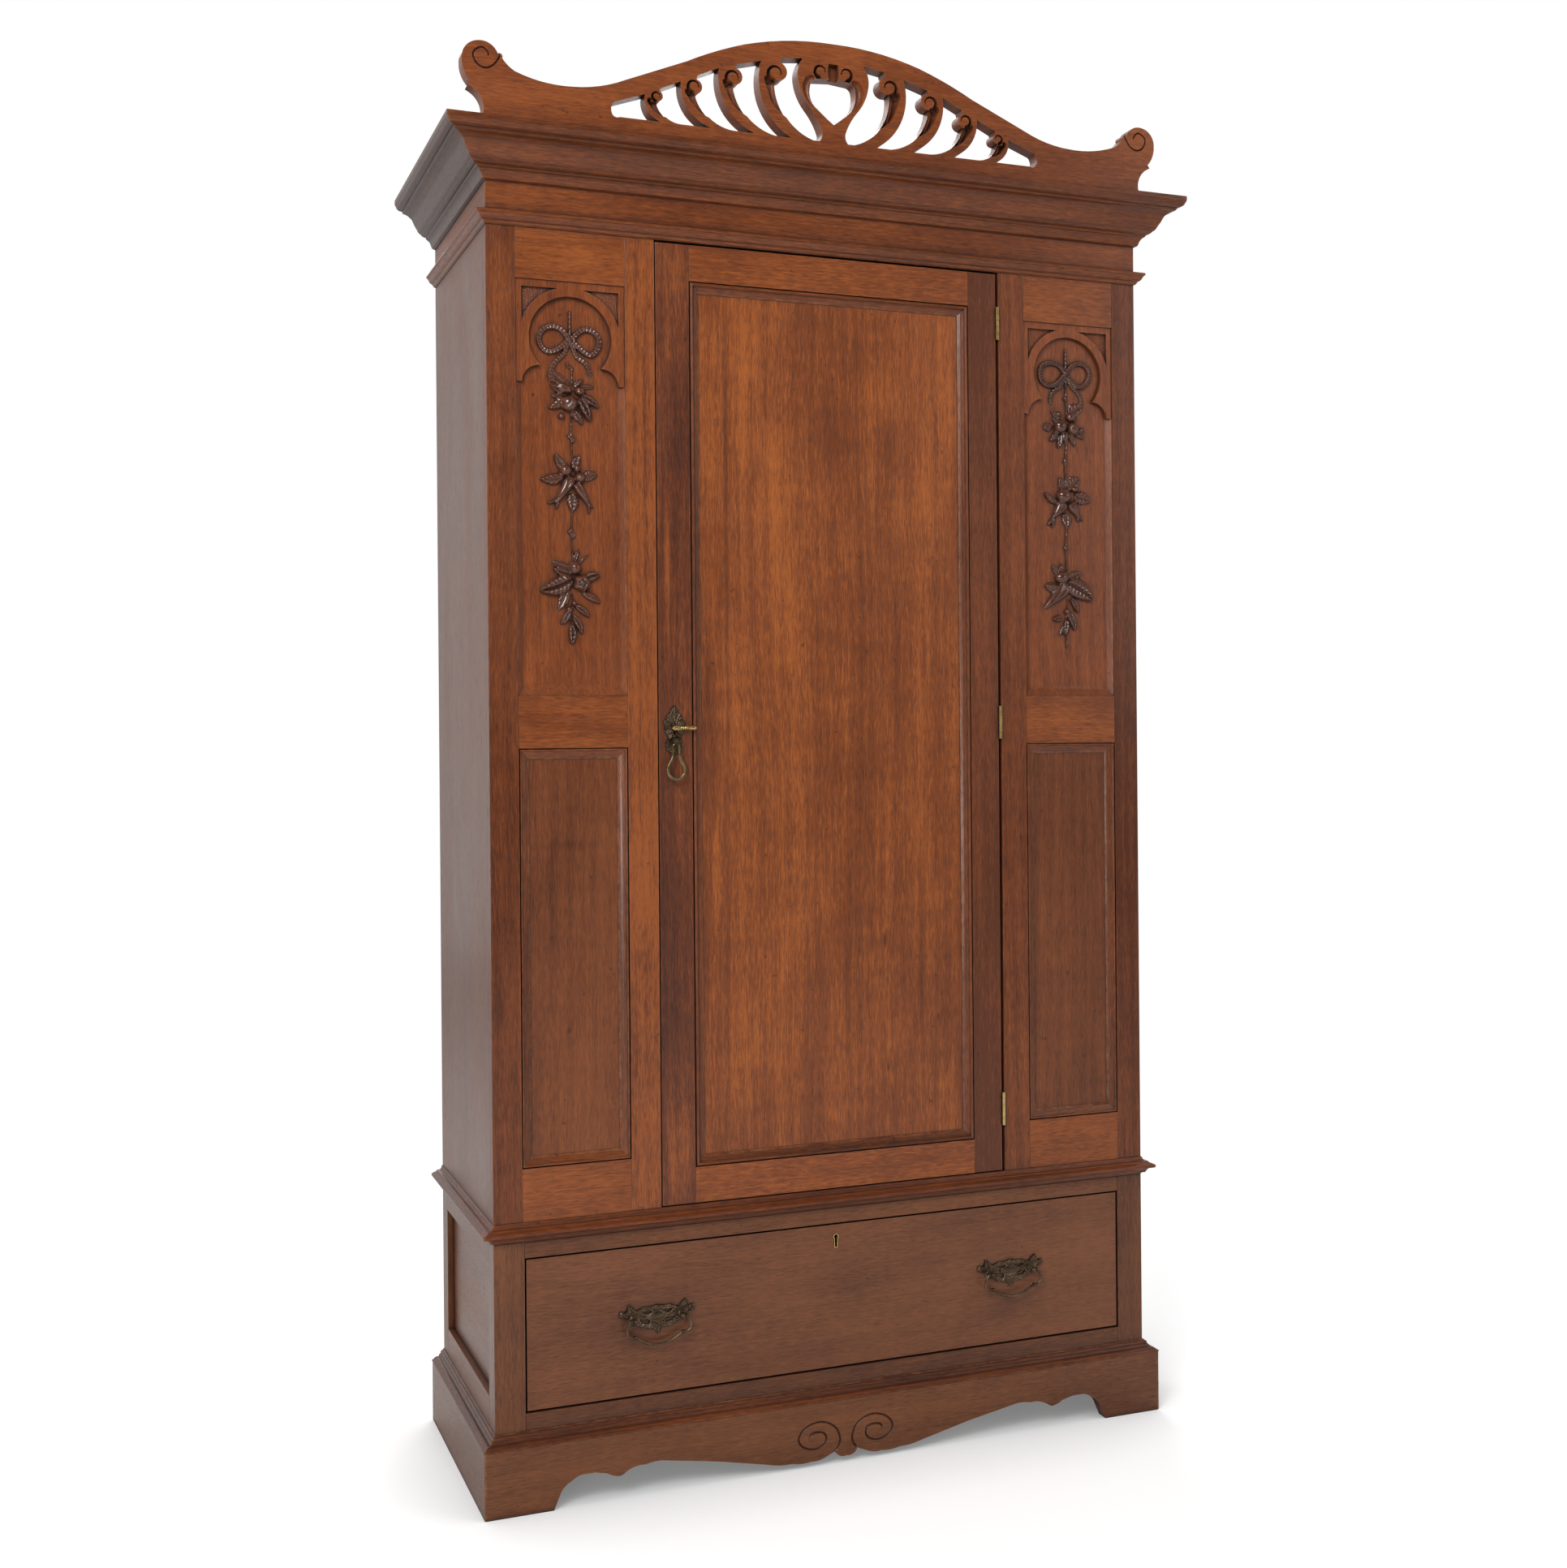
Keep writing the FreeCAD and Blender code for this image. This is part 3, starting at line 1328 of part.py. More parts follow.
# Right half of the outer edge from the crown to the foot: shares of crest_half and crest_height
crest_edge_shares = [
    (0.0, 1.0, 0.0), (0.254, 0.897, 0.038), (0.415, 0.695, 0.02), (0.579, 0.484, 0.0), (0.719, 0.378, -0.05),
    (0.866, 0.442, -0.054), (0.898, 0.53, -0.06), (0.909, 0.562, 0.4), (0.958, 0.646, 0.18),
    (1.0, 0.492, 0.2),
    (0.979, 0.324, 0.1), (0.985, 0.297, 0.0), (0.975, 0.281, 0.0), (0.947, 0.092, -0.16), (0.947, 0.0, 0.0),
    (0.0, 0.0, 0.0),
]
# Right half of the window under the top band, down its end and back along the rail
crest_window_shares = [
    (0.0, 0.866, 0.0), (0.149, 0.826, 0.02), (0.327, 0.676, 0.012), (0.527, 0.392, 0.0), (0.61, 0.3, 0.0),
    (0.614, 0.2, 0.15), (0.595, 0.186, 0.2), (0.0, 0.186, 0.0),
]
# Each tendril: top and foot of its outer edge, volute centre, neck on the band, top and
# foot of its inner edge, as shares of crest_half and crest_height
tendril_shares = [
    ((0.527, 0.392), (0.487, 0.186), (0.493, 0.391), (0.486, 0.454), (0.495, 0.335), (0.431, 0.186)),
    ((0.43, 0.53), (0.348, 0.186), (0.391, 0.504), (0.384, 0.593), (0.3895, 0.443), (0.284, 0.186)),
    ((0.325, 0.678), (0.228, 0.186), (0.282, 0.627), (0.2785, 0.723), (0.2845, 0.555), (0.1685, 0.186)),
    ((0.207, 0.784), (0.124, 0.186), (0.158, 0.716), (0.149, 0.826), (0.1675, 0.622), (0.06, 0.186)),
]
volute_radii = [8.0, 11.0, 12.6, 13.8]
tendril_bow_share = 0.18
tendril_inner_bow_share = 0.165
hollow_width = 11.0
hollow_depth = 11.0
hollow_foot_share = 0.72    # the hollow runs out this far down the inner edge
# Heart stem and opening, right halves
heart_shares = [
    (0.0, 0.88, 0.0), (0.0825, 0.87, 0.0), (0.1025, 0.68, 0.12), (0.071, 0.465, 0.07), (0.034, 0.27, -0.05),
    (0.041, 0.186, -0.12), (0.041, 0.15, 0.0), (0.0, 0.15, 0.0),
]
heart_opening_shares = [
    (0.0, 0.331, 0.0), (0.053, 0.465, -0.02), (0.065, 0.65, -0.11), (0.051, 0.696, -0.15), (0.0, 0.71, 0.0),
]
heart_recess_shares = [(0.0, 0.69, 0.0), (0.012, 0.69, 0.0), (0.013, 0.835, -0.08), (0.0, 0.835, 0.0)]
crest_block_width = 60.0
crest_block_depth = 8.0
crest_block_height = 28.0
crest_block_reach = 380.0


def crest_point(shares):
    return shares[0] * crest_half, cornice_top_level + shares[1] * crest_height


def crest_rows(shares):
    return scaled(shares, crest_half, crest_height, z=cornice_top_level)


def tendril(shares, radius):
    places = [crest_point(share) for share in shares]
    (outer_x, outer_z), (foot_x, foot_z), (eye_x, eye_z) = places[:3]
    (neck_x, neck_z), (inner_x, inner_z), (toe_x, toe_z) = places[3:]
    sunk = foot_z - overrun
    body = front_plate([
        (outer_x, outer_z + overrun, 0.0), (outer_x, outer_z, 0.0), (foot_x, foot_z, tendril_bow_share),
        (foot_x, sunk, 0.0), (toe_x, sunk, 0.0), (toe_x, toe_z, 0.0),
        (inner_x, inner_z, -tendril_inner_bow_share),
        (eye_x, eye_z, 0.0), (neck_x, neck_z, 0.0), (neck_x, neck_z + overrun, 0.0),
    ], crest_front, crest_back)
    return [body, y_rod(eye_x, eye_z, radius, crest_front, crest_back)]


def tendril_hollow(shares):
    inner_x, inner_z = crest_point(shares[4])
    toe_x, toe_z = crest_point(shares[5])
    end_x = inner_x + (toe_x - inner_x) * hollow_foot_share
    end_z = inner_z + (toe_z - inner_z) * hollow_foot_share
    rows = [
        (inner_x - overrun, inner_z, 0.0), (inner_x + hollow_width, inner_z, 0.0),
        (end_x + hollow_width, end_z, tendril_inner_bow_share), (end_x, end_z, 0.0),
    ]
    return front_plate(rows, crest_front - overrun, crest_front + hollow_depth)


def crest():
    board = front_plate(mirrored_outline(crest_rows(crest_edge_shares)), crest_front, crest_back)
    window = front_plate(mirrored_outline(crest_rows(crest_window_shares)), crest_front - overrun,
                         crest_back + overrun)
    board = board.cut(window)
    stem = front_plate(mirrored_outline(crest_rows(heart_shares)), crest_front, crest_back)
    opening = front_plate(mirrored_outline(crest_rows(heart_opening_shares)), crest_front - overrun,
                          crest_back + overrun)
    recess = front_plate(mirrored_outline(crest_rows(heart_recess_shares)), crest_front - overrun,
                         crest_front + hollow_depth)
    board = board.fuse(stem.cut(opening).cut(recess))
    for shares, radius in zip(tendril_shares, volute_radii):
        for piece in tendril(shares, radius):
            board = board.fuse(piece).fuse(mirrored(piece))
    board = board.removeSplitter()
    for shares in tendril_shares:
        hollow = tendril_hollow(shares)
        board = board.cut(hollow).cut(mirrored(hollow))
    return [board.Solids[0]]


def crest_blocks():
    blocks = []
    for place in (-1, 0, 1):
        x = place * crest_block_reach
        blocks.append(block(x - crest_block_width / 2, x + crest_block_width / 2, crest_back,
                            crest_back + crest_block_depth, cornice_top_level,
                            cornice_top_level + crest_block_height))
    return blocks


# Hanging rail
rail_drop = 98.0            # from the case's head down to the rail
rail_radius = 9.5
rail_wall = 1.2
rail_z = frieze_base - rail_drop
rail_y = (frame_back + board_back) / 2
socket_flange_radius = 21.0
socket_flange = 3.0
socket_collar_radius = 13.0
socket_collar = 14.0
socket_sides = 16
rail_half = half - side_stock - socket_flange


def hanging_rail():
    rail = x_rod(-rail_half, rail_half, rail_y, rail_z, rail_radius)
    return [minus(rail, x_rod(-half, half, rail_y, rail_z, rail_radius - rail_wall))]


def rail_sockets():
    inside = half - side_stock
    rows = [
        (0.0, socket_flange_radius), (socket_flange, socket_flange_radius),
        (socket_flange, socket_collar_radius), (socket_flange + socket_collar, socket_collar_radius),
    ]
    socket = turned(rows, point(inside, rail_y, rail_z), point(-1, 0, 0), socket_sides)
    bore = x_rod(inside - socket_flange - socket_collar - overrun, inside - socket_flange, rail_y, rail_z,
                 rail_radius)
    return pair(minus(socket, bore))


sub_parts = [
    plinth_front, plinth_sides, plinth_back, plinth_blocks, plinth_mould,
    base_posts, base_side_rails, base_side_panels, base_rails, base_boards, base_back, drawer_runners,
    waist_frame, case_sides, case_boards, back_boards, corner_stiles, inner_stile_left, inner_stile_right,
    wing_rails, lower_panels, lower_slips, carved_panel_left, carved_panel_right, carving_left, carving_right,
    frieze, necking_mould, cornice_mould, cornice_top, crest, crest_blocks, hanging_rail, rail_sockets,
    strike_plate,
    hinge_frame_leaves, hinge_pins, hinge_door_leaves,
    door_lock_stile, door_hinge_stile, door_rails, door_panel, door_mould,
    lock_plate, lock_case, lock_bolt, key, pull_post, drop_pull,
    drawer_front, drawer_sides, drawer_back, drawer_bottom, drawer_lock, drawer_bolt, escutcheon,
    handle_plates, handle_posts, bail_left, bail_right,
]

os.makedirs("parts", exist_ok=True)
for sub_part in sub_parts:
    solids = sub_part()
    shape = solids[0] if len(solids) == 1 else Part.makeCompound(solids)
    shape.exportStep("parts/" + sub_part.__name__ + ".step")
    valid = all(solid.isValid() and solid.Volume > 0 for solid in solids)
    print(sub_part.__name__, len(solids), "solids", "sound" if valid else "NOT SOUND")
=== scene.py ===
import json
import math
import random

import bmesh
import bpy
import numpy as np
from mathutils import Matrix, Vector
from mathutils.geometry import delaunay_2d_cdt


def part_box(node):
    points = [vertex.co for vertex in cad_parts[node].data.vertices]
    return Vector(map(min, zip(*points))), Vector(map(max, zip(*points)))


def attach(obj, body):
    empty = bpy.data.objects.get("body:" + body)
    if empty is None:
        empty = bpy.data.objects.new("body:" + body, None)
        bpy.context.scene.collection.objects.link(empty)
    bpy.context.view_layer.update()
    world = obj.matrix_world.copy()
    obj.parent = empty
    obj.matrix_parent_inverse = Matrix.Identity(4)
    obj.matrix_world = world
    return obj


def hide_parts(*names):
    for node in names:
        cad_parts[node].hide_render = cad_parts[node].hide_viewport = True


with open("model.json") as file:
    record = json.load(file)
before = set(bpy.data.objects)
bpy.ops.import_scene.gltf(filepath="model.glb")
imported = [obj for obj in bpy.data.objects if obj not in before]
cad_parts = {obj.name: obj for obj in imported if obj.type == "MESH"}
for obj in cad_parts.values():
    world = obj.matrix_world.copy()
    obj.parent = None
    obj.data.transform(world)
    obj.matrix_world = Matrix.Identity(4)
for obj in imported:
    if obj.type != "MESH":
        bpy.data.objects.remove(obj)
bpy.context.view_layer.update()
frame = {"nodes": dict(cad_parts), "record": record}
nodes = frame["nodes"]
scene = bpy.context.scene
mm = 0.001


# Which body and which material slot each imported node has.
behaviour = frame["record"]["behaviour"]
bodyOfNode = {node: body for body, members in behaviour["bodies"].items() for node in members}
slotOfNode = {name: node.material_slots[0].material.name for name, node in nodes.items()}


# Shader helpers: a tree is filled by name, so that each material reads from left to right.
def addNode(tree, kind, **settings):
    node = tree.nodes.new(kind)
    for name, value in settings.items():
        setattr(node, name, value)
    return node


def feed(tree, socket, value):
    if isinstance(value, bpy.types.NodeSocket):
        tree.links.new(value, socket)
    elif value is not None:
        socket.default_value = value


def mathNode(tree, operation, first, second=None, third=None, clamp=False):
    node = addNode(tree, "ShaderNodeMath", operation=operation, use_clamp=clamp)
    for socket, value in zip(node.inputs, (first, second, third)):
        feed(tree, socket, value)
    return node.outputs[0]


def mixColour(tree, share, first, second):
    node = addNode(tree, "ShaderNodeMix", data_type="RGBA")
    feed(tree, node.inputs["Factor"], share)
    feed(tree, node.inputs[6], first)
    feed(tree, node.inputs[7], second)
    return node.outputs[2]


def spread(tree, value, low, high, toLow=0.0, toHigh=1.0):
    node = addNode(tree, "ShaderNodeMapRange")
    feed(tree, node.inputs["Value"], value)
    node.inputs["From Min"].default_value = low
    node.inputs["From Max"].default_value = high
    node.inputs["To Min"].default_value = toLow
    node.inputs["To Max"].default_value = toHigh
    return node.outputs["Result"]


def stretched(tree, vector, scale):
    node = addNode(tree, "ShaderNodeMapping")
    feed(tree, node.inputs["Vector"], vector)
    node.inputs["Scale"].default_value = scale
    return node.outputs["Vector"]


def noise(tree, vector, scale, detail, rough=0.5, distortion=0.0):
    node = addNode(tree, "ShaderNodeTexNoise")
    feed(tree, node.inputs["Vector"], vector)
    node.inputs["Scale"].default_value = scale
    node.inputs["Detail"].default_value = detail
    node.inputs["Roughness"].default_value = rough
    node.inputs["Distortion"].default_value = distortion
    return node.outputs["Fac"]


def newGroup(name, inputs, outputs):
    tree = bpy.data.node_groups.new(name, "ShaderNodeTree")
    for direction, sockets in (("INPUT", inputs), ("OUTPUT", outputs)):
        for label, kind in sockets.items():
            tree.interface.new_socket(label, in_out=direction, socket_type=f"NodeSocket{kind}")
    return tree, addNode(tree, "NodeGroupInput").outputs, addNode(tree, "NodeGroupOutput").inputs


def place(tree, group, values):
    node = addNode(tree, "ShaderNodeGroup", node_tree=group)
    for label, value in values.items():
        feed(tree, node.inputs[label], value)
    return node.outputs


def newMaterial(name):
    material = bpy.data.materials.new(name)
    material.use_nodes = True
    return material, material.node_tree, material.node_tree.nodes["Principled BSDF"]


def addBump(tree, shader, height, strength, depth):
    bump = addNode(tree, "ShaderNodeBump")
    bump.inputs["Strength"].default_value = strength
    bump.inputs["Distance"].default_value = depth
    feed(tree, bump.inputs["Height"], height)
    feed(tree, shader.inputs["Normal"], bump.outputs["Normal"])


# Wood figure: fine lines and pores along the grain, wide streaks and slow clouds. Each board carries its own
# coordinates, with the grain along X. A kind of mark has its stretch along and across the grain, the detail,
# roughness and distortion of its noise, and the range of the noise that is drawn.
figureLook = {
    "sway": (1.6, 7, 7), "swayReach": (0, 0.03, 0.03), "ringStretch": (0.6, 14, 5),
    "rings": {"Scale": 1.0, "Distortion": 9.0, "Detail": 3.0, "Detail Scale": 0.7},
    "broad": ((1.3, 26, 26), 4.0, 0.6, 0.0, (0.3, 0.7)),
    "swayed": {
        "Lines": ((9, 330, 330), 4.0, 0.7, 0.0, (0.3, 0.7)),
        "Dashes": ((60, 560, 560), 2.0, 0.6, 0.0, (0.28, 0.72)),
        "Ripple": ((38, 9, 9), 2.0, 0.5, 0.0, (0.3, 0.7)),
    },
    "straight": {
        "Pores": ((62, 980, 980), 1.0, 0.5, 0.0, (0.58, 0.72)),
        "Clouds": ((2.1, 6.5, 6.5), 4.0, 0.6, 0.5, (0.3, 0.7)),
    },
}


def drawnNoise(tree, vector, stretch, detail, rough, distortion, drawn):
    return spread(tree, noise(tree, stretched(tree, vector, stretch), 1.0, detail, rough, distortion), *drawn)


def buildWoodFigure():
    marks = ("Figure", *figureLook["swayed"], *figureLook["straight"])
    tree, given, out = newGroup("WoodFigure", {"Ring Share": "Float"}, dict.fromkeys(marks, "Float"))
    grain = addNode(tree, "ShaderNodeAttribute", attribute_name="grain").outputs["Vector"]
    swayed = addNode(tree, "ShaderNodeVectorMath", operation="MULTIPLY_ADD")
    feed(tree, swayed.inputs[0], noise(tree, stretched(tree, grain, figureLook["sway"]), 1.0, 2.0))
    swayed.inputs[1].default_value = figureLook["swayReach"]
    feed(tree, swayed.inputs[2], grain)
    bent = swayed.outputs[0]
    rings = addNode(tree, "ShaderNodeTexWave", wave_type="BANDS", bands_direction="Y")
    feed(tree, rings.inputs["Vector"], stretched(tree, bent, figureLook["ringStretch"]))
    for label, value in figureLook["rings"].items():
        rings.inputs[label].default_value = value
    figure = addNode(tree, "ShaderNodeMix", data_type="FLOAT")
    feed(tree, figure.inputs[0], given["Ring Share"])
    feed(tree, figure.inputs[2], drawnNoise(tree, bent, *figureLook["broad"]))
    feed(tree, figure.inputs[3], rings.outputs["Fac"])
    feed(tree, out["Figure"], figure.outputs[0])
    for vector, course in ((bent, "swayed"), (grain, "straight")):
        for mark, look in figureLook[course].items():
            feed(tree, out[mark], drawnNoise(tree, vector, *look))
    return tree


# Old polish and painted light: dark wax and painted shade in the corners, recesses and joints, edges lightened as
# rubbed wear and a painted highlight, and a few specks. A size counts the spots in a metre, a reach is in metres,
# and a pair is the range that is drawn.
polishAndLightLook = {
    "corner": (0.35, 0.95), "blotchSize": 28.0, "blotch": (0.25, 0.6), "blotchLeast": 0.6,
    "jointReach": 0.005, "joint": (0.5, 0.94),
    "edgeReach": 0.0035, "edge": (0.35, 0.72), "scuffSize": 60.0, "scuff": (0.42, 0.66),
    "speckSize": 95.0, "speck": (0.72, 0.76), "speckShare": 0.5,
}


# How close other faces stand: in front of the surface for corners, behind it for edges.
def closeness(tree, reach, drawn, inside=False):
    node = addNode(tree, "ShaderNodeAmbientOcclusion", samples=6, inside=inside)
    feed(tree, node.inputs["Distance"], reach)
    return spread(tree, node.outputs["AO"], *drawn, 1.0, 0.0)


def buildPolishAndPaintedLight():
    look = polishAndLightLook
    tree, given, out = newGroup(
        "PolishAndPaintedLight",
        {"Colour": "Color", "Grime And Shade": "Color", "Grime And Shade Share": "Float", "Wear And Highlight": "Color", "Wear And Highlight Share": "Float",
         "Reach": "Float"},
        {"Colour": "Color", "Grime And Shade": "Float"},
    )
    where = addNode(tree, "ShaderNodeTexCoord").outputs["Object"]
    blotch = noise(tree, where, look["blotchSize"], 4.0, 0.6)
    # Painted shade together with dark wax: the colour darkens where other faces stand close, in corners, recesses and
    # joints.
    grimeAndShade = mathNode(tree, "MULTIPLY", closeness(tree, given["Reach"], look["corner"]),
                    spread(tree, blotch, *look["blotch"], look["blotchLeast"], 1.0))
    grimeAndShade = mathNode(tree, "MULTIPLY", grimeAndShade, given["Grime And Shade Share"], clamp=True)
    grimeAndShade = mathNode(tree, "MAXIMUM", grimeAndShade, closeness(tree, look["jointReach"], look["joint"]))
    # Painted highlight together with wear: the colour lightens along convex edges, broken up by scuffs.
    edge = closeness(tree, look["edgeReach"], look["edge"], inside=True)
    scuff = spread(tree, noise(tree, where, look["scuffSize"], 5.0, 0.7), *look["scuff"])
    wearAndHighlight = mathNode(tree, "MULTIPLY", mathNode(tree, "MULTIPLY", edge, scuff), given["Wear And Highlight Share"], clamp=True)
    speck = spread(tree, noise(tree, where, look["speckSize"], 2.0), *look["speck"], 0.0, look["speckShare"])
    wornAndHighlit = mixColour(tree, wearAndHighlight, given["Colour"], given["Wear And Highlight"])
    specked = mixColour(tree, speck, wornAndHighlit, given["Grime And Shade"])
    feed(tree, out["Colour"], mixColour(tree, grimeAndShade, specked, given["Grime And Shade"]))
    feed(tree, out["Grime And Shade"], grimeAndShade)
    return tree


woodFigure = buildWoodFigure()
polishAndPaintedLight = buildPolishAndPaintedLight()

# A look may also change how strongly and how far shade is painted into its corners, and how much its edges are
# lightened as wear and painted highlight.
woodLooks = {
    "case_wood": {"dark": (0.082, 0.02, 0.006), "mid": (0.172, 0.043, 0.0105), "light": (0.3, 0.08, 0.016)},
    "dark_wood": {"dark": (0.062, 0.018, 0.009), "mid": (0.14, 0.036, 0.012), "light": (0.3, 0.08, 0.017)},
    "side_wood": {"dark": (0.085, 0.026, 0.01), "mid": (0.14, 0.043, 0.015), "light": (0.2, 0.065, 0.022)},
    "base_wood": {"dark": (0.07, 0.022, 0.009), "mid": (0.135, 0.044, 0.015), "light": (0.2, 0.068, 0.022)},
    "drawer_wood": {"dark": (0.075, 0.024, 0.01), "mid": (0.138, 0.046, 0.0175), "light": (0.2, 0.068, 0.025),
                    "rings": 0.5},
    "door_wood": {"dark": (0.1, 0.026, 0.008), "mid": (0.198, 0.05, 0.0125), "light": (0.37, 0.1, 0.018),
                  "rings": 0.24},
    "moulding_wood": {"dark": (0.06, 0.017, 0.006), "mid": (0.145, 0.037, 0.01), "light": (0.26, 0.07, 0.015),
                      "roughness": 0.3, "coat": 0.08, "wearAndHighlight": 0.35},
    "panel_wood": {"dark": (0.085, 0.023, 0.008), "mid": (0.155, 0.043, 0.013), "light": (0.235, 0.067, 0.017)},
    "carved_wood": {"dark": (0.1, 0.025, 0.008), "mid": (0.2, 0.05, 0.0125), "light": (0.31, 0.081, 0.017)},
    "drop_wood": {"dark": (0.045, 0.011, 0.004), "mid": (0.14, 0.032, 0.007), "light": (0.23, 0.057, 0.0115),
                  "roughness": 0.27, "coat": 1.0, "coatRoughness": 0.05, "reach": 0.008, "grimeAndShade": 1.0,
                  "figure": 0.5, "wearAndHighlight": 0.1},
    "inside_wood": {"dark": (0.17, 0.09, 0.04), "mid": (0.29, 0.17, 0.085), "light": (0.38, 0.24, 0.13),
                    "roughness": 0.62, "coat": 0, "grimeAndShade": 0.45, "wearAndHighlight": 0.15},
}
# What a wood has unless its own look says otherwise. Its dark colour is that of wax and painted shade in the
# corners, its light one that of rubbed edges, worn and with a painted highlight.
woodFinish = {
    "waxAndShade": (0.018, 0.007, 0.005), "bareAndHighlight": (0.42, 0.2, 0.09), "grimeAndShade": 0.7, "wearAndHighlight": 0.45, "reach": 0.012,
    "parts": {"Figure": 0.34, "Clouds": 0.3, "Lines": 0.3, "Dashes": 0.46, "Ripple": 0.1},
    "rings": 0.3, "figure": 1.0, "tone": 0.3, "middle": -0.25, "plainMiddle": 0.41, "stops": (0.1, 0.52, 0.92),
    "pores": 0.42, "poreTone": 0.45, "poreDepth": 0.00012, "poreStrength": 0.6, "dashHeight": 0.3,
    "roughness": 0.33, "cloudGloss": 0.1, "grimeAndShadeGloss": 0.2, "poreGloss": 0.12,
    "specular": 0.4, "coat": 0.07, "coatRoughness": 0.16, "coatLost": 0.8,
}


def opaque(colour):
    return (*colour, 1.0)


def buildWood(slotName, look):
    look = {**woodFinish, **look}
    material, tree, shader = newMaterial(slotName)
    figure = place(tree, woodFigure, {"Ring Share": look["rings"]})
    tone = addNode(tree, "ShaderNodeAttribute", attribute_name="tone").outputs["Fac"]
    depth = mathNode(tree, "MULTIPLY", tone, look["tone"])
    for part, share in look["parts"].items():
        depth = mathNode(tree, "ADD", depth, mathNode(tree, "MULTIPLY", figure[part], share * look["figure"]))
    middle = look["middle"] * look["figure"] + look["plainMiddle"] * (1 - look["figure"])
    depth = mathNode(tree, "ADD", depth, middle)
    ramp = addNode(tree, "ShaderNodeValToRGB")
    ramp.color_ramp.elements.new(0.5)
    for stop, at, shade in zip(ramp.color_ramp.elements, look["stops"], ("dark", "mid", "light")):
        stop.position = at
        stop.color = opaque(look[shade])
    feed(tree, ramp.inputs["Fac"], depth)
    pored = mixColour(tree, mathNode(tree, "MULTIPLY", figure["Pores"], look["pores"]),
                      ramp.outputs["Color"], opaque(tuple(look["poreTone"] * c for c in look["dark"])))
    # The polish paints shade into the corners and highlights along the edges of the wood's colour.
    worn = place(tree, polishAndPaintedLight, {
        "Colour": pored, "Grime And Shade": opaque(look["waxAndShade"]), "Grime And Shade Share": look["grimeAndShade"],
        "Wear And Highlight": opaque(look["bareAndHighlight"]), "Wear And Highlight Share": look["wearAndHighlight"], "Reach": look["reach"],
    })
    feed(tree, shader.inputs["Base Color"], worn["Colour"])
    gloss = mathNode(tree, "MULTIPLY_ADD", figure["Clouds"], look["cloudGloss"],
                     look["roughness"] - look["cloudGloss"] / 2)
    for mark, share in ((worn["Grime And Shade"], look["grimeAndShadeGloss"]), (figure["Pores"], look["poreGloss"])):
        gloss = mathNode(tree, "ADD", gloss, mathNode(tree, "MULTIPLY", mark, share))
    feed(tree, shader.inputs["Roughness"], gloss)
    shader.inputs["Specular IOR Level"].default_value = look["specular"]
    if look["coat"]:
        # The coat thins where the shade is painted in.
        clean = mathNode(tree, "MULTIPLY_ADD", worn["Grime And Shade"], -look["coatLost"] * look["coat"], look["coat"])
        feed(tree, shader.inputs["Coat Weight"], clean)
        shader.inputs["Coat Roughness"].default_value = look["coatRoughness"]
    dashes = mathNode(tree, "MULTIPLY", figure["Dashes"], look["dashHeight"])
    relief = mathNode(tree, "MULTIPLY_ADD", figure["Pores"], -1.0, dashes)
    addBump(tree, shader, relief, look["poreStrength"], look["poreDepth"])
    return material


# Clean and dull are the brass and its tarnish. The worn colour is that of rubbed edges, partly wear and partly a
# painted highlight.
metalLooks = {
    "aged_brass": {"clean": (0.14, 0.088, 0.052), "worn": (0.4, 0.28, 0.17), "dull": (0.048, 0.03, 0.021),
                   "dullShare": 0.75, "roughness": 0.3, "wearAndHighlight": 0.5},
    "worn_brass": {"clean": (0.22, 0.155, 0.07), "worn": (0.52, 0.4, 0.19), "dull": (0.05, 0.034, 0.02),
                   "dullShare": 0.75, "roughness": 0.3, "wearAndHighlight": 0.6},
    "bright_brass": {"clean": (0.72, 0.48, 0.17), "worn": (0.9, 0.68, 0.32), "dull": (0.26, 0.15, 0.05),
                     "dullShare": 0.4, "roughness": 0.26, "wearAndHighlight": 0.6},
    "rail_brass": {"clean": (0.6, 0.4, 0.15), "worn": (0.7, 0.5, 0.22), "dull": (0.42, 0.27, 0.1),
                   "dullShare": 0.3, "roughness": 0.36, "wearAndHighlight": 0.0},
    "steel": {"clean": (0.36, 0.35, 0.33), "worn": (0.55, 0.54, 0.52), "dull": (0.1, 0.07, 0.05),
              "dullShare": 0.5, "roughness": 0.38, "wearAndHighlight": 0.5},
}


metalFinish = {
    "tarnishSize": 120.0, "tarnish": (0.35, 0.62), "metallic": 0.92, "tarnishGloss": 0.16, "glossBelow": 0.06,
    "grimeAndShadeTone": 0.4, "grimeAndShade": 0.95, "grimeAndShadeGloss": 0.2, "reach": 0.0035,
    "grainSize": 900.0, "grainStrength": 0.35, "grainDepth": 0.0001,
}


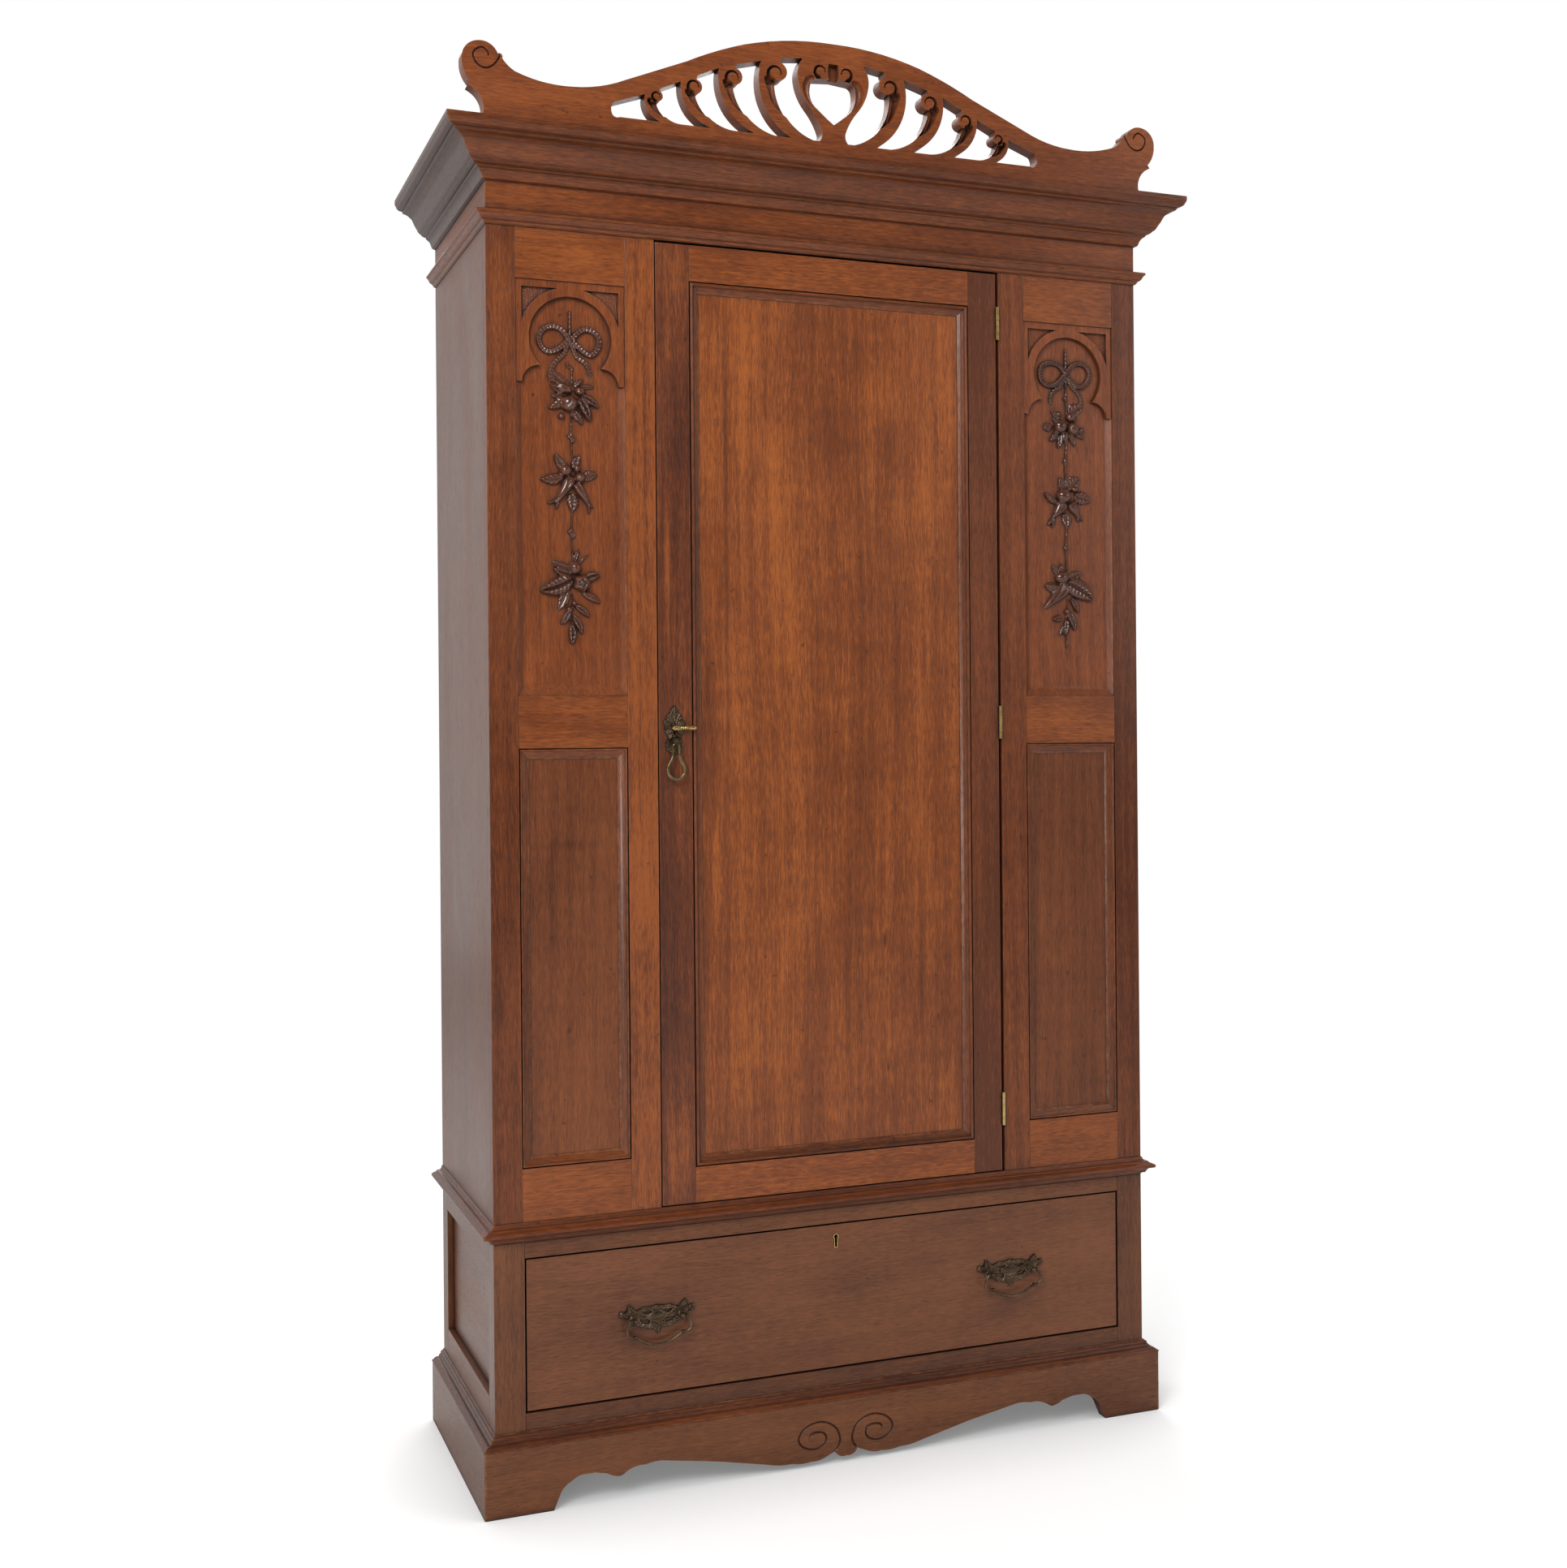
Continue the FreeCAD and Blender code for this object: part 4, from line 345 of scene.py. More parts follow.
def buildMetal(slotName, look):
    look = {**metalFinish, **look}
    material, tree, shader = newMaterial(slotName)
    where = addNode(tree, "ShaderNodeTexCoord").outputs["Object"]
    tarnish = spread(tree, noise(tree, where, look["tarnishSize"], 4.0, 0.6), *look["tarnish"])
    patched = mixColour(tree, mathNode(tree, "MULTIPLY", tarnish, look["dullShare"]),
                        opaque(look["clean"]), opaque(look["dull"]))
    # The polish paints shade into the hollows and highlights along the rubbed edges.
    worn = place(tree, polishAndPaintedLight, {
        "Colour": patched, "Grime And Shade": opaque(tuple(look["grimeAndShadeTone"] * c for c in look["dull"])),
        "Grime And Shade Share": look["grimeAndShade"], "Wear And Highlight": opaque(look["worn"]), "Wear And Highlight Share": look["wearAndHighlight"], "Reach": look["reach"],
    })
    feed(tree, shader.inputs["Base Color"], worn["Colour"])
    shader.inputs["Metallic"].default_value = look["metallic"]
    rough = mathNode(tree, "MULTIPLY_ADD", tarnish, look["tarnishGloss"], look["roughness"] - look["glossBelow"])
    rough = mathNode(tree, "ADD", rough, mathNode(tree, "MULTIPLY", worn["Grime And Shade"], look["grimeAndShadeGloss"]))
    feed(tree, shader.inputs["Roughness"], rough)
    grain = noise(tree, where, look["grainSize"], 3.0, 0.6)
    addBump(tree, shader, grain, look["grainStrength"], look["grainDepth"])
    return material


finishes = {name: buildWood(name, look) for name, look in woodLooks.items()}
finishes.update({name: buildMetal(name, look) for name, look in metalLooks.items()})
print("finishes built:", len(finishes))


# Facets within flatDegrees count as one face. Edges sharper than degrees are eased, in boards only the longer ones.
easedEdge = {"flatDegrees": 0.4, "degrees": 34, "segments": 2, "shortest": 0.012}


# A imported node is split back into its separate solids: one is whole once every edge has been met twice.
def solidsOf(nodeName):
    mesh = nodes[nodeName].data
    corners = [tuple(round(c, 6) for c in v.co) for v in mesh.vertices]
    solids, faces, openEdges = [], [], set()
    for polygon in mesh.polygons:
        loop = [corners[i] for i in polygon.vertices]
        if len(set(loop)) < 3:
            continue
        faces.append(loop)
        for a, b in zip(loop, loop[1:] + loop[:1]):
            openEdges ^= {frozenset((a, b))}
        if not openEdges:
            solids.append(faces)
            faces = []
    if faces:
        solids.append(faces)
    return solids


def meshOfSolid(faces):
    bm = bmesh.new()
    made = {}
    for loop in faces:
        ring = []
        for corner in loop:
            if corner not in made:
                made[corner] = bm.verts.new(corner)
            ring.append(made[corner])
        bm.faces.new(ring)
    flat = math.radians(easedEdge["flatDegrees"])
    bmesh.ops.dissolve_limit(bm, angle_limit=flat, verts=bm.verts[:], edges=bm.edges[:])
    bmesh.ops.recalc_face_normals(bm, faces=bm.faces[:])
    return bm


def finished(bm, name):
    mesh = bpy.data.meshes.new(name)
    bm.to_mesh(mesh)
    bm.free()
    return mesh


# The grain runs along the longest side of a board, and each board has its own stretch of figure and tone.
# Marks lighten or darken it around their middles.
def grainOn(mesh, seed, along=None, tone=None, marks=()):
    draw = random.Random(seed)
    lows = [min(v.co[i] for v in mesh.vertices) for i in range(3)]
    highs = [max(v.co[i] for v in mesh.vertices) for i in range(3)]
    sizes = [high - low for low, high in zip(lows, highs)]
    first = sizes.index(max(sizes)) if along is None else along
    order = [first, (first + 1) % 3, (first + 2) % 3]
    shift = [draw.uniform(-20, 20) for _ in order]
    tone = draw.uniform(-0.4, 0.4) if tone is None else tone
    turned = [vertex.co[axis] + shift[i] for vertex in mesh.vertices for i, axis in enumerate(order)]
    grain = mesh.attributes.new("grain", "FLOAT_VECTOR", "POINT")
    grain.data.foreach_set("vector", turned)
    tones = []
    for v in mesh.vertices:
        marked = sum(strength * math.exp(-((v.co.x / mm - x) / across) ** 2 - ((v.co.z / mm - z) / upward) ** 2)
                     for (x, z), (across, upward), strength in marks)
        tones.append(tone + marked)
    shade = mesh.attributes.new("tone", "FLOAT", "POINT")
    shade.data.foreach_set("value", tones)


# One piece from finished meshes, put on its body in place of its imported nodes.
def makePiece(name, meshes, replacing, degrees=30):
    joined = bmesh.new()
    for mesh in meshes:
        joined.from_mesh(mesh)
    mesh = finished(joined, name)
    mesh.polygons.foreach_set("use_smooth", [True] * len(mesh.polygons))
    mesh.set_sharp_from_angle(angle=math.radians(degrees))
    piece = bpy.data.objects.new(name, mesh)
    scene.collection.objects.link(piece)
    slotName = slotOfNode[replacing[0]]
    mesh.materials.append(finishes[slotName])
    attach(piece, bodyOfNode[replacing[0]])
    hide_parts(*replacing)
    return piece


def dress(piece, finishName):
    piece.data.materials.clear()
    piece.data.materials.append(finishes[finishName])
    return piece


# Large flat faces keep their own shading, and the eased edges turn the light.
def evenShade(piece):
    weighted = piece.modifiers.new("even shading", "WEIGHTED_NORMAL")
    weighted.keep_sharp = True
    weighted.weight = 80
    return piece


def roundOver(bm, width, shortest=0.0):
    sharp = [edge for edge in bm.edges if len(edge.link_faces) == 2 and edge.calc_length() > shortest
             and edge.calc_face_angle(0) > math.radians(easedEdge["degrees"])]
    bmesh.ops.bevel(bm, geom=sharp, offset=width, segments=easedEdge["segments"], profile=0.5, affect="EDGES",
                    clamp_overlap=True)


# Cuts a board's faces into a grid, closer together at its narrow marks, so that the marks have points to lie on.
# The cuts beside a narrow mark are given in its own reach.
markGrid = {"space": {0: 12, 2: 24}, "narrow": 1.6, "beside": (-1.8, -1.1, -0.5, 0, 0.5, 1.1, 1.8), "margin": 0.5}


def gridFor(bm, marks):
    for axis, space in markGrid["space"].items():
        low = min(v.co[axis] for v in bm.verts) / mm
        high = max(v.co[axis] for v in bm.verts) / mm
        cuts = {low + space * i for i in range(1, math.ceil((high - low) / space))}
        for middle, reach, _ in marks:
            at, wide = middle[axis // 2], reach[axis // 2]
            if wide < markGrid["narrow"] * space:
                cuts |= {at + wide * k for k in markGrid["beside"]}
        for cut in sorted(c for c in cuts if low + markGrid["margin"] < c < high - markGrid["margin"]):
            spot, normal = Vector(), Vector()
            spot[axis], normal[axis] = cut * mm, 1
            everything = bm.verts[:] + bm.edges[:] + bm.faces[:]
            bmesh.ops.bisect_plane(bm, geom=everything, dist=1e-6, plane_co=spot, plane_no=normal)


# Draws a frame's lengths in towards its middle, so that a dark joint stays open round it.
def openJoint(lengths, gap):
    for axis in (0, 2):
        places = [v.co[axis] for bm in lengths for v in bm.verts]
        middle, half = (min(places) + max(places)) / 2, (max(places) - min(places)) / 2
        for bm in lengths:
            for v in bm.verts:
                v.co[axis] = middle + (v.co[axis] - middle) * (1 - gap * mm / half)


def boardPiece(nodeName, ease):
    meshes = []
    tones = boardToneAndLight.get(nodeName)
    marks = boardMarks.get(nodeName, [])
    lengths = [meshOfSolid(faces) for faces in solidsOf(nodeName)]
    gap, frames = openJoints.get(nodeName, (0, 0))
    if frames == 1:
        openJoint(lengths, gap)
    if frames == 2:
        openJoint([bm for bm in lengths if min(v.co.x for v in bm.verts) < 0], gap)
        openJoint([bm for bm in lengths if min(v.co.x for v in bm.verts) > 0], gap)
    for number, bm in enumerate(lengths):
        roundOver(bm, ease, easedEdge["shortest"])
        if marks:
            gridFor(bm, marks)
        mesh = finished(bm, f"{nodeName}_{number}")
        grainOn(mesh, f"{nodeName}{number}", tone=tones[number % len(tones)] if tones else None, marks=marks)
        meshes.append(mesh)
    return evenShade(makePiece(f"{nodeName}_wood", meshes, [nodeName]))


# How much lighter or darker than its finish a board is, one value for each of its lengths: partly the board's own
# tone and partly painted light and shade, set to how bright each board shows under its lighting.
boardToneAndLight = {
    "inner_stile_left": [1.1], "door_lock_stile": [-0.25], "door_hinge_stile": [-1.1], "door_rails": [0.4, 0.1],
    "door_panel": [0.2], "corner_stiles": [-0.7, -0.3], "inner_stile_right": [-0.3], "wing_rails": [0.6],
    "lower_panels": [-0.2, 0.2], "drawer_front": [0.3], "waist_frame": [-0.5], "plinth_mould": [-0.6],
    "cornice_mould": [0.0, -1.4, -0.3], "plinth_front": [0.3],
    "carved_panel_left": [0.1], "carved_panel_right": [-0.1], "crest": [0.3],
}

# Streaks, stains and light patches in the front boards: the middle of each and its reach across and upwards, in
# millimetres, then its strength, darker below zero.
boardMarks = {
    "door_panel": [
        ((-172, 1480), (3.4, 300), -1.0), ((-171, 1100), (2.6, 160), -0.35), ((-174, 740), (3.6, 180), -0.8),
        ((-136, 1690), (17, 70), 1.0), ((-146, 1580), (10, 60), 0.6), ((-205, 1620), (12, 190), 0.45),
        ((-95, 1480), (12, 70), 0.45), ((-12, 1565), (28, 70), -0.6), ((106, 1571), (22, 50), -0.5),
        ((85, 1650), (24, 60), 0.6), ((30, 1700), (9, 50), 0.3), ((190, 1650), (20, 120), 0.45),
        ((165, 1480), (22, 110), 0.35), ((-70, 1300), (45, 120), 0.25), ((60, 1330), (60, 140), -0.3),
        ((-5, 1040), (18, 70), -0.5), ((-14, 905), (6, 34), -0.7), ((-22, 880), (4, 60), 0.4),
        ((-20, 700), (20, 60), -0.4), ((18, 760), (5, 150), -0.35), ((135, 960), (40, 170), 0.45),
        ((143, 780), (4.5, 170), -0.9), ((172, 540), (32, 60), 0.5), ((-190, 905), (9, 70), 0.5),
        ((-60, 520), (150, 60), -0.25), ((82, 790), (2.2, 8), -2.2), ((172, 665), (2, 5), -2.0),
        ((86, 590), (1.8, 5), -1.8), ((-206, 470), (5, 2), -1.4), ((-200, 1180), (14, 120), -0.4)],
    "door_lock_stile": [
        ((-266, 1360), (4.5, 95), 1.6), ((-256, 1300), (3, 60), 0.7), ((-253, 1800), (26, 50), 0.9),
        ((-262, 1690), (9, 40), 0.5), ((-240, 1560), (12, 120), -0.6), ((-262, 860), (26, 150), -0.5),
        ((-262, 703), (18, 60), -0.5), ((-257, 480), (22, 90), 1.0)],
    "inner_stile_left": [
        ((-319, 1700), (5, 160), 0.7), ((-298, 1500), (3.5, 300), -0.7), ((-316, 1250), (4, 150), 0.6),
        ((-299, 797), (10, 50), -0.5), ((-308, 862), (6, 30), 0.6), ((-318, 600), (12, 120), -0.4)],
    "corner_stiles": [
        ((-505, 1723), (9, 90), 0.7), ((-516, 1300), (8, 160), -0.4), ((-519, 724), (10, 26), -0.9),
        ((-500, 560), (14, 120), -0.3)],
    "wing_rails": [
        ((-397, 1813), (20, 14), 0.6), ((-440, 1800), (24, 10), 0.3), ((-380, 1795), (10, 20), 0.4)],
    "lower_panels": [
        ((-416, 952), (22, 7), -0.8), ((-416, 682), (3, 4), -1.6), ((-430, 560), (30, 120), 0.3),
        ((-440, 860), (5, 120), -0.4), ((-398, 780), (6, 180), 0.4)],
    "drawer_front": [
        ((16, 262), (70, 26), -0.7), ((287, 195), (60, 18), -0.9), ((-329, 242), (48, 40), -0.7),
        ((290, 250), (60, 30), -0.4), ((440, 285), (40, 40), 0.6), ((-363, 342), (110, 14), 0.5),
        ((-440, 169), (40, 30), 0.5), ((379, 181), (70, 30), 0.35), ((-97, 332), (90, 16), 0.4),
        ((-98, 165), (120, 14), -0.4), ((-180, 215), (60, 24), 0.25), ((120, 330), (60, 10), -0.35)],
}

# How far the joint round a frame or a drawer is open, in millimetres, and how many frames a node holds.
openJoints = {"door_mould": (1.5, 1), "lower_slips": (1.5, 2), "drawer_front": (1.0, 1)}


# Carved work is drawn in millimetres over a flat ground, x to the right and z up. A height above zero stands
# out to the front, and a shape's outline lies where its height falls through zero.
carveCut = {"fall": 7.0, "pleat": 1.1, "pleatPitch": 5.2, "ribbonEnd": 1.5, "ribbonStep": 1.2, "lump": 0.12,
            "lumpPitch": 0.9, "leafBow": 0.06}


def chart(low, high, step):
    across = np.arange(low[0], high[0] + step, step)
    upward = np.arange(low[1], high[1] + step, step)
    return np.meshgrid(across, upward, indexing="ij")


def turnedTo(X, Z, centre, degrees):
    c, s = math.cos(math.radians(degrees)), math.sin(math.radians(degrees))
    dx, dz = X - centre[0], Z - centre[1]
    return dx * c + dz * s, dz * c - dx * s


# A rounded top inside the shape's outline, where edge is below one, and a steep fall outside it.
def mound(edge, high, steep):
    return np.where(edge < 1, high * np.sqrt(np.clip(1 - edge ** steep, 0, None)), carveCut["fall"] * (1 - edge))


def smoothLine(points, steps=7):
    rows = [points[0], *points, points[-1]]
    line = []
    for a, b, c, d in zip(rows, rows[1:], rows[2:], rows[3:]):
        for i in range(steps):
            t = i / steps
            line.append(tuple(0.5 * (2 * b[k] + (c[k] - a[k]) * t + (2 * a[k] - 5 * b[k] + 4 * c[k] - d[k]) * t ** 2
                                     + (3 * b[k] - a[k] - 3 * c[k] + d[k]) * t ** 3) for k in range(len(b))))
    line.append(tuple(points[-1]))
    return line


# How far each point lies from a line, how far along it, and the line's whole length.
def besideLine(X, Z, line):
    gap = np.full(X.shape, 1e6)
    run = np.zeros(X.shape)
    total = 0.0
    for (x0, z0), (x1, z1) in zip(line, line[1:]):
        dx, dz = x1 - x0, z1 - z0
        length = math.hypot(dx, dz)
        if length == 0:
            continue
        share = np.clip(((X - x0) * dx + (Z - z0) * dz) / length ** 2, 0, 1)
        here = np.hypot(X - x0 - share * dx, Z - z0 - share * dz)
        nearer = here < gap
        gap = np.where(nearer, here, gap)
        run = np.where(nearer, total + share * length, run)
        total += length
    return gap, run, total


def ribbonShape(X, Z, points, width, high):
    gap, run, total = besideLine(X, Z, smoothLine(points))
    edge = gap / (width / 2)
    side = np.clip(edge, 0, 1)
    pleats = carveCut["pleat"] * np.cos(run * (2 * math.pi / carveCut["pleatPitch"])) * (0.4 + 0.6 * side)
    cupped = mound(edge, high, 8.0) * (0.72 + 0.28 * side ** 2) + np.where(edge < 1, pleats, 0)
    return cupped - np.where(run > total - carveCut["ribbonEnd"], carveCut["ribbonStep"], 0)


def stemShape(X, Z, points, radius, high):
    gap, run, _ = besideLine(X, Z, smoothLine(points))
    lumps = carveCut["lump"] * np.sin(run * carveCut["lumpPitch"])
    return mound(gap / radius, high, 3.0) + np.where(gap < radius, lumps, 0)


# A dip or ridge that is strongest at zero and fades over its width.
def crease(distance, width):
    return np.exp(-(distance / width) ** 2)


def fruitShape(X, Z, centre, radii, high, kind="plain", turn=0):
    u, v = turnedTo(X, Z, centre, turn)
    u, v = u / radii[0], v / radii[1]
    edge = np.hypot(u, v)
    angle = np.arctan2(v, u)
    if kind == "rose":
        edge = edge / (0.92 + 0.1 * np.cos(5 * angle + 1.3))
    detail = 0
    if kind == "cleft":
        detail = -0.2 * crease(v, 0.14) * np.sqrt(np.clip(1 - edge, 0, 1))
    if kind == "crescent":
        detail = -0.17 * crease(np.hypot(u + 0.42, v - 0.5) - 0.62, 0.09)
    if kind == "seeds":
        detail = 0.07 * np.cos(9 * u) * np.cos(9 * v)
    if kind == "berry":
        detail = -0.16 * crease(np.hypot(u, v + 0.3), 0.14)
    if kind == "hip":
        detail = 0.16 * np.clip(v - 0.45, 0, None) * np.cos(6 * angle) - 0.12 * crease(v - 0.55, 0.12)
    if kind == "rose":
        detail = 0.11 * np.cos(5 * angle + 5.5 * edge) * np.clip(edge * 2, 0, 1) - 0.2 * crease(edge - 0.34, 0.1)
    return mound(edge, high, 2.0) + np.where(edge < 1, high * detail, 0)


# Coordinates of a leaf or pod: along and beside its axis in millimetres, and the share of its length.
def besideAxis(X, Z, root, tip):
    u, v = turnedTo(X, Z, root, math.degrees(math.atan2(tip[1] - root[1], tip[0] - root[0])))
    t = u / math.dist(root, tip)
    return u, v, t, np.clip(t, 0.002, 0.998)


def leafShape(X, Z, root, tip, width, high, kind="plain"):
    _, v, t, inner = besideAxis(X, Z, root, tip)
    v = v - carveCut["leafBow"] * math.dist(root, tip) * np.sin(math.pi * inner)
    half = 0.5 * width * np.sin(math.pi * inner ** 0.78) ** 0.8
    if kind == "teeth":
        half = half * (0.86 + 0.3 * ((inner * 5.0) % 1.0))
    half = np.maximum(half, 0.05)
    side = np.abs(v) / half
    edge = np.maximum(side, np.abs(2 * t - 1))
    part = np.clip(side, 0, 1)
    swell = 0.62 + 0.38 * np.sin(math.pi * part ** 0.9)
    if kind == "curl":
        swell = 0.45 + 0.55 * np.sin(math.pi * 0.5 * (1 + np.clip(v / half, -1, 1)))
    rib = 0.3 * crease(v, 0.06 * width + 0.25) * (1 - 0.5 * inner)
    count, strength = (8, 0.128) if kind == "veined" else (5, 0.08)
    veins = strength * np.cos(2 * math.pi * (t * count - 0.9 * part)) * np.clip(part * 3, 0, 1)
    body = high * (0.78 + 0.3 * inner) * (mound(edge, 1.0, 8.0) * swell - (rib - veins))
    return np.where(edge < 1, body, carveCut["fall"] * (1 - edge))


# A pod: a fat drop with a split down its length that shows a row of seeds.
def podShape(X, Z, root, tip, width, high):
    u, v, t, inner = besideAxis(X, Z, root, tip)
    half = 0.5 * width * (np.sin(math.pi * inner ** 0.62) ** 0.7 * (1 - 0.55 * inner) + 0.1)
    edge = np.maximum(np.abs(v) / np.maximum(half, 0.05), np.abs(2 * t - 1))
    height = mound(edge, high, 2.0) * (1 - 0.35 * inner)
    opening = np.clip(np.sin(math.pi * np.clip((t - 0.1) / 0.6, 0, 1)), 0, 1)
    split = crease(v - 0.1 * width, 0.07 * width) * opening
    seeds = 0.5 + 0.5 * np.cos(u * 2.9)
    return height - np.where(edge < 1, split * (0.3 * high - 0.2 * high * seeds), 0)


shapeMakers = {"band": ribbonShape, "stem": stemShape, "fruit": fruitShape, "leaf": leafShape, "pod": podShape}


# Wherever shapes overlap, the highest one shows.
def highest(X, Z, rows, height):
    for kind, *values in rows:
        height = np.maximum(height, shapeMakers[kind](X, Z, *values))
    return height


def softened(height):
    padded = np.pad(height, 1, mode="edge")
    across = padded[:-2, 1:-1] + 2 * padded[1:-1, 1:-1] + padded[2:, 1:-1]
    padded = np.pad(across / 4, 1, mode="edge")
    return (padded[1:-1, :-2] + 2 * padded[1:-1, 1:-1] + padded[1:-1, 2:]) / 4


# A closed mesh of a height map: it starts a little inside the wood behind it and has a flat back there.
def reliefMesh(name, X, Z, height, groundY, sink):
    height = np.maximum(height, -sink)
    cell = (height[:-1, :-1] > 0) | (height[1:, :-1] > 0) | (height[:-1, 1:] > 0) | (height[1:, 1:] > 0)
    cell[0, :] = cell[-1, :] = cell[:, 0] = cell[:, -1] = False
    for _ in range(3):
        rising = cell[:-1, :-1] & cell[1:, 1:] & ~cell[1:, :-1] & ~cell[:-1, 1:]
        falling = ~cell[:-1, :-1] & ~cell[1:, 1:] & cell[1:, :-1] & cell[:-1, 1:]
        cell[1:, :-1] |= rising
        cell[:-1, :-1] |= falling
    index = np.arange(X.size).reshape(X.shape)
    i, j = np.nonzero(cell)
    quads = np.stack([index[i, j], index[i + 1, j], index[i + 1, j + 1], index[i, j + 1]], axis=1)
    used, flat = np.unique(quads, return_inverse=True)
    corners = np.stack([X.ravel()[used], groundY - height.ravel()[used], Z.ravel()[used]], axis=1) * mm
    front = bpy.data.meshes.new(name)
    front.from_pydata(corners.tolist(), [], flat.reshape(-1, 4).tolist())
    bm = bmesh.new()
    bm.from_mesh(front)
    rim = [edge for edge in bm.edges if len(edge.link_faces) == 1]
    made = bmesh.ops.extrude_edge_only(bm, edges=rim)["geom"]
    behind = {vert for vert in made if isinstance(vert, bmesh.types.BMVert)}
    for vert in behind:
        vert.co.y = (groundY + sink + 0.5) * mm
    hind = [edge for edge in made if isinstance(edge, bmesh.types.BMEdge) and set(edge.verts) <= behind]
    bmesh.ops.triangle_fill(bm, use_beauty=False, edges=hind)
    bmesh.ops.recalc_face_normals(bm, faces=bm.faces[:])
    bm.to_mesh(front)
    bm.free()
    return front


def insideBorder(points, border):
    inside = np.zeros(len(points), bool)
    gap = np.full(len(points), 1e6)
    px, pz = points[:, 0], points[:, 1]
    for (x0, z0), (x1, z1) in border:
        dx, dz = x1 - x0, z1 - z0
        crosses = (z0 > pz) != (z1 > pz)
        if dz:
            inside ^= crosses & (px < x0 + (pz - z0) * dx / dz)
        share = np.clip(((px - x0) * dx + (pz - z0) * dz) / max(dx * dx + dz * dz, 1e-12), 0, 1)
        gap = np.minimum(gap, np.hypot(px - x0 - share * dx, pz - z0 - share * dz))
    return inside, gap


# A board's flat front face is cut finely where carving lies, and pressed in or out by it.
def carveFace(bm, faceY, heightAt, step, margin=2.0, keep=0.3):
    flat = [face for face in bm.faces
            if face.normal.y < -0.999 and abs(face.calc_center_median().y / mm - faceY) < 0.02]
    flatSet = set(flat)
    border = [edge for face in flat for edge in face.edges
              if sum(other in flatSet for other in edge.link_faces) == 1]
    verts = list({vert for edge in border for vert in edge.verts})
    flatPlace = {vert: (vert.co.x / mm, vert.co.z / mm) for vert in verts}
    order = {vert: number for number, vert in enumerate(verts)}
    lines = [(flatPlace[edge.verts[0]], flatPlace[edge.verts[1]]) for edge in border]
    low = [min(p[k] for p in flatPlace.values()) for k in range(2)]
    high = [max(p[k] for p in flatPlace.values()) for k in range(2)]
    X, Z = chart(low, high, step)
    X = X + 0.5 * step * (np.arange(X.shape[1]) % 2)[None, :]
    height = heightAt(X, Z)
    wanted = np.abs(height) > 1e-4
    for _ in range(max(1, round(margin / step))):
        grown = np.pad(wanted, 1)
        wanted = grown[1:-1, 1:-1] | grown[:-2, 1:-1] | grown[2:, 1:-1] | grown[1:-1, :-2] | grown[1:-1, 2:]
    points = np.stack([X[wanted], Z[wanted]], axis=1)
    inside, gap = insideBorder(points, lines)
    kept = inside & (gap > keep)
    points, pressed = points[kept], height[wanted][kept]
    cornersIn = [Vector(flatPlace[vert]) for vert in verts] + [Vector(p) for p in points]
    edges = [(order[edge.verts[0]], order[edge.verts[1]]) for edge in border]
    found, _, triangles, origin, _, _ = delaunay_2d_cdt(cornersIn, edges, [], 0, 1e-6)
    middles = np.array([[sum(found[i][k] for i in tri) / 3 for k in range(2)] for tri in triangles])
    good, _ = insideBorder(middles, lines)
    bmesh.ops.delete(bm, geom=flat, context="FACES")
    made = []
    for number, spot in enumerate(found):
        came = [i for i in origin[number] if i < len(verts)]
        if came:
            made.append(verts[came[0]])
            continue
        lift = pressed[origin[number][0] - len(verts)] if origin[number] else 0.0
        made.append(bm.verts.new((spot[0] * mm, (faceY - lift) * mm, spot[1] * mm)))
    for tri, keepIt in zip(triangles, good):
        ring = [made[i] for i in tri]
        if keepIt and len(set(ring)) == 3:
            bm.faces.new(ring)
    loose = [vert for vert in made if vert.is_valid and not vert.link_faces]
    bmesh.ops.delete(bm, geom=loose, context="VERTS")


# Where a hollow runs out over a face's edge, the edge is cut down with it.
def pressRim(verts, heightAt):
    if verts:
        places = np.array([[v.co.x / mm, v.co.z / mm] for v in verts])
        for v, height in zip(verts, heightAt(places[None, :, 0], places[None, :, 1])[0]):
            v.co.y -= float(height) * mm


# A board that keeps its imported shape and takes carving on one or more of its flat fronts. A front is where it
# lies, its heights, the fineness of its cut and how deep its rim is cut down with it.
def carvedBoard(nodeName, ease, fronts, along=None, tone=None):
    meshes = []
    for number, faces in enumerate(solidsOf(nodeName)):
        bm = meshOfSolid(faces)
        roundOver(bm, ease)
        for faceY, heightAt, step, rim in fronts:
            edge = [v for v in bm.verts if -1e-6 <= v.co.y - faceY * mm <= rim * mm] if rim else []
            carveFace(bm, faceY, heightAt, step)
            pressRim([v for v in edge if v.is_valid], heightAt)
        bmesh.ops.recalc_face_normals(bm, faces=bm.faces[:])
        mesh = finished(bm, f"{nodeName}_{number}")
        grainOn(mesh, f"{nodeName}{number}", along, tone)
        meshes.append(mesh)
    return evenShade(makePiece(f"{nodeName}_wood", meshes, [nodeName]))


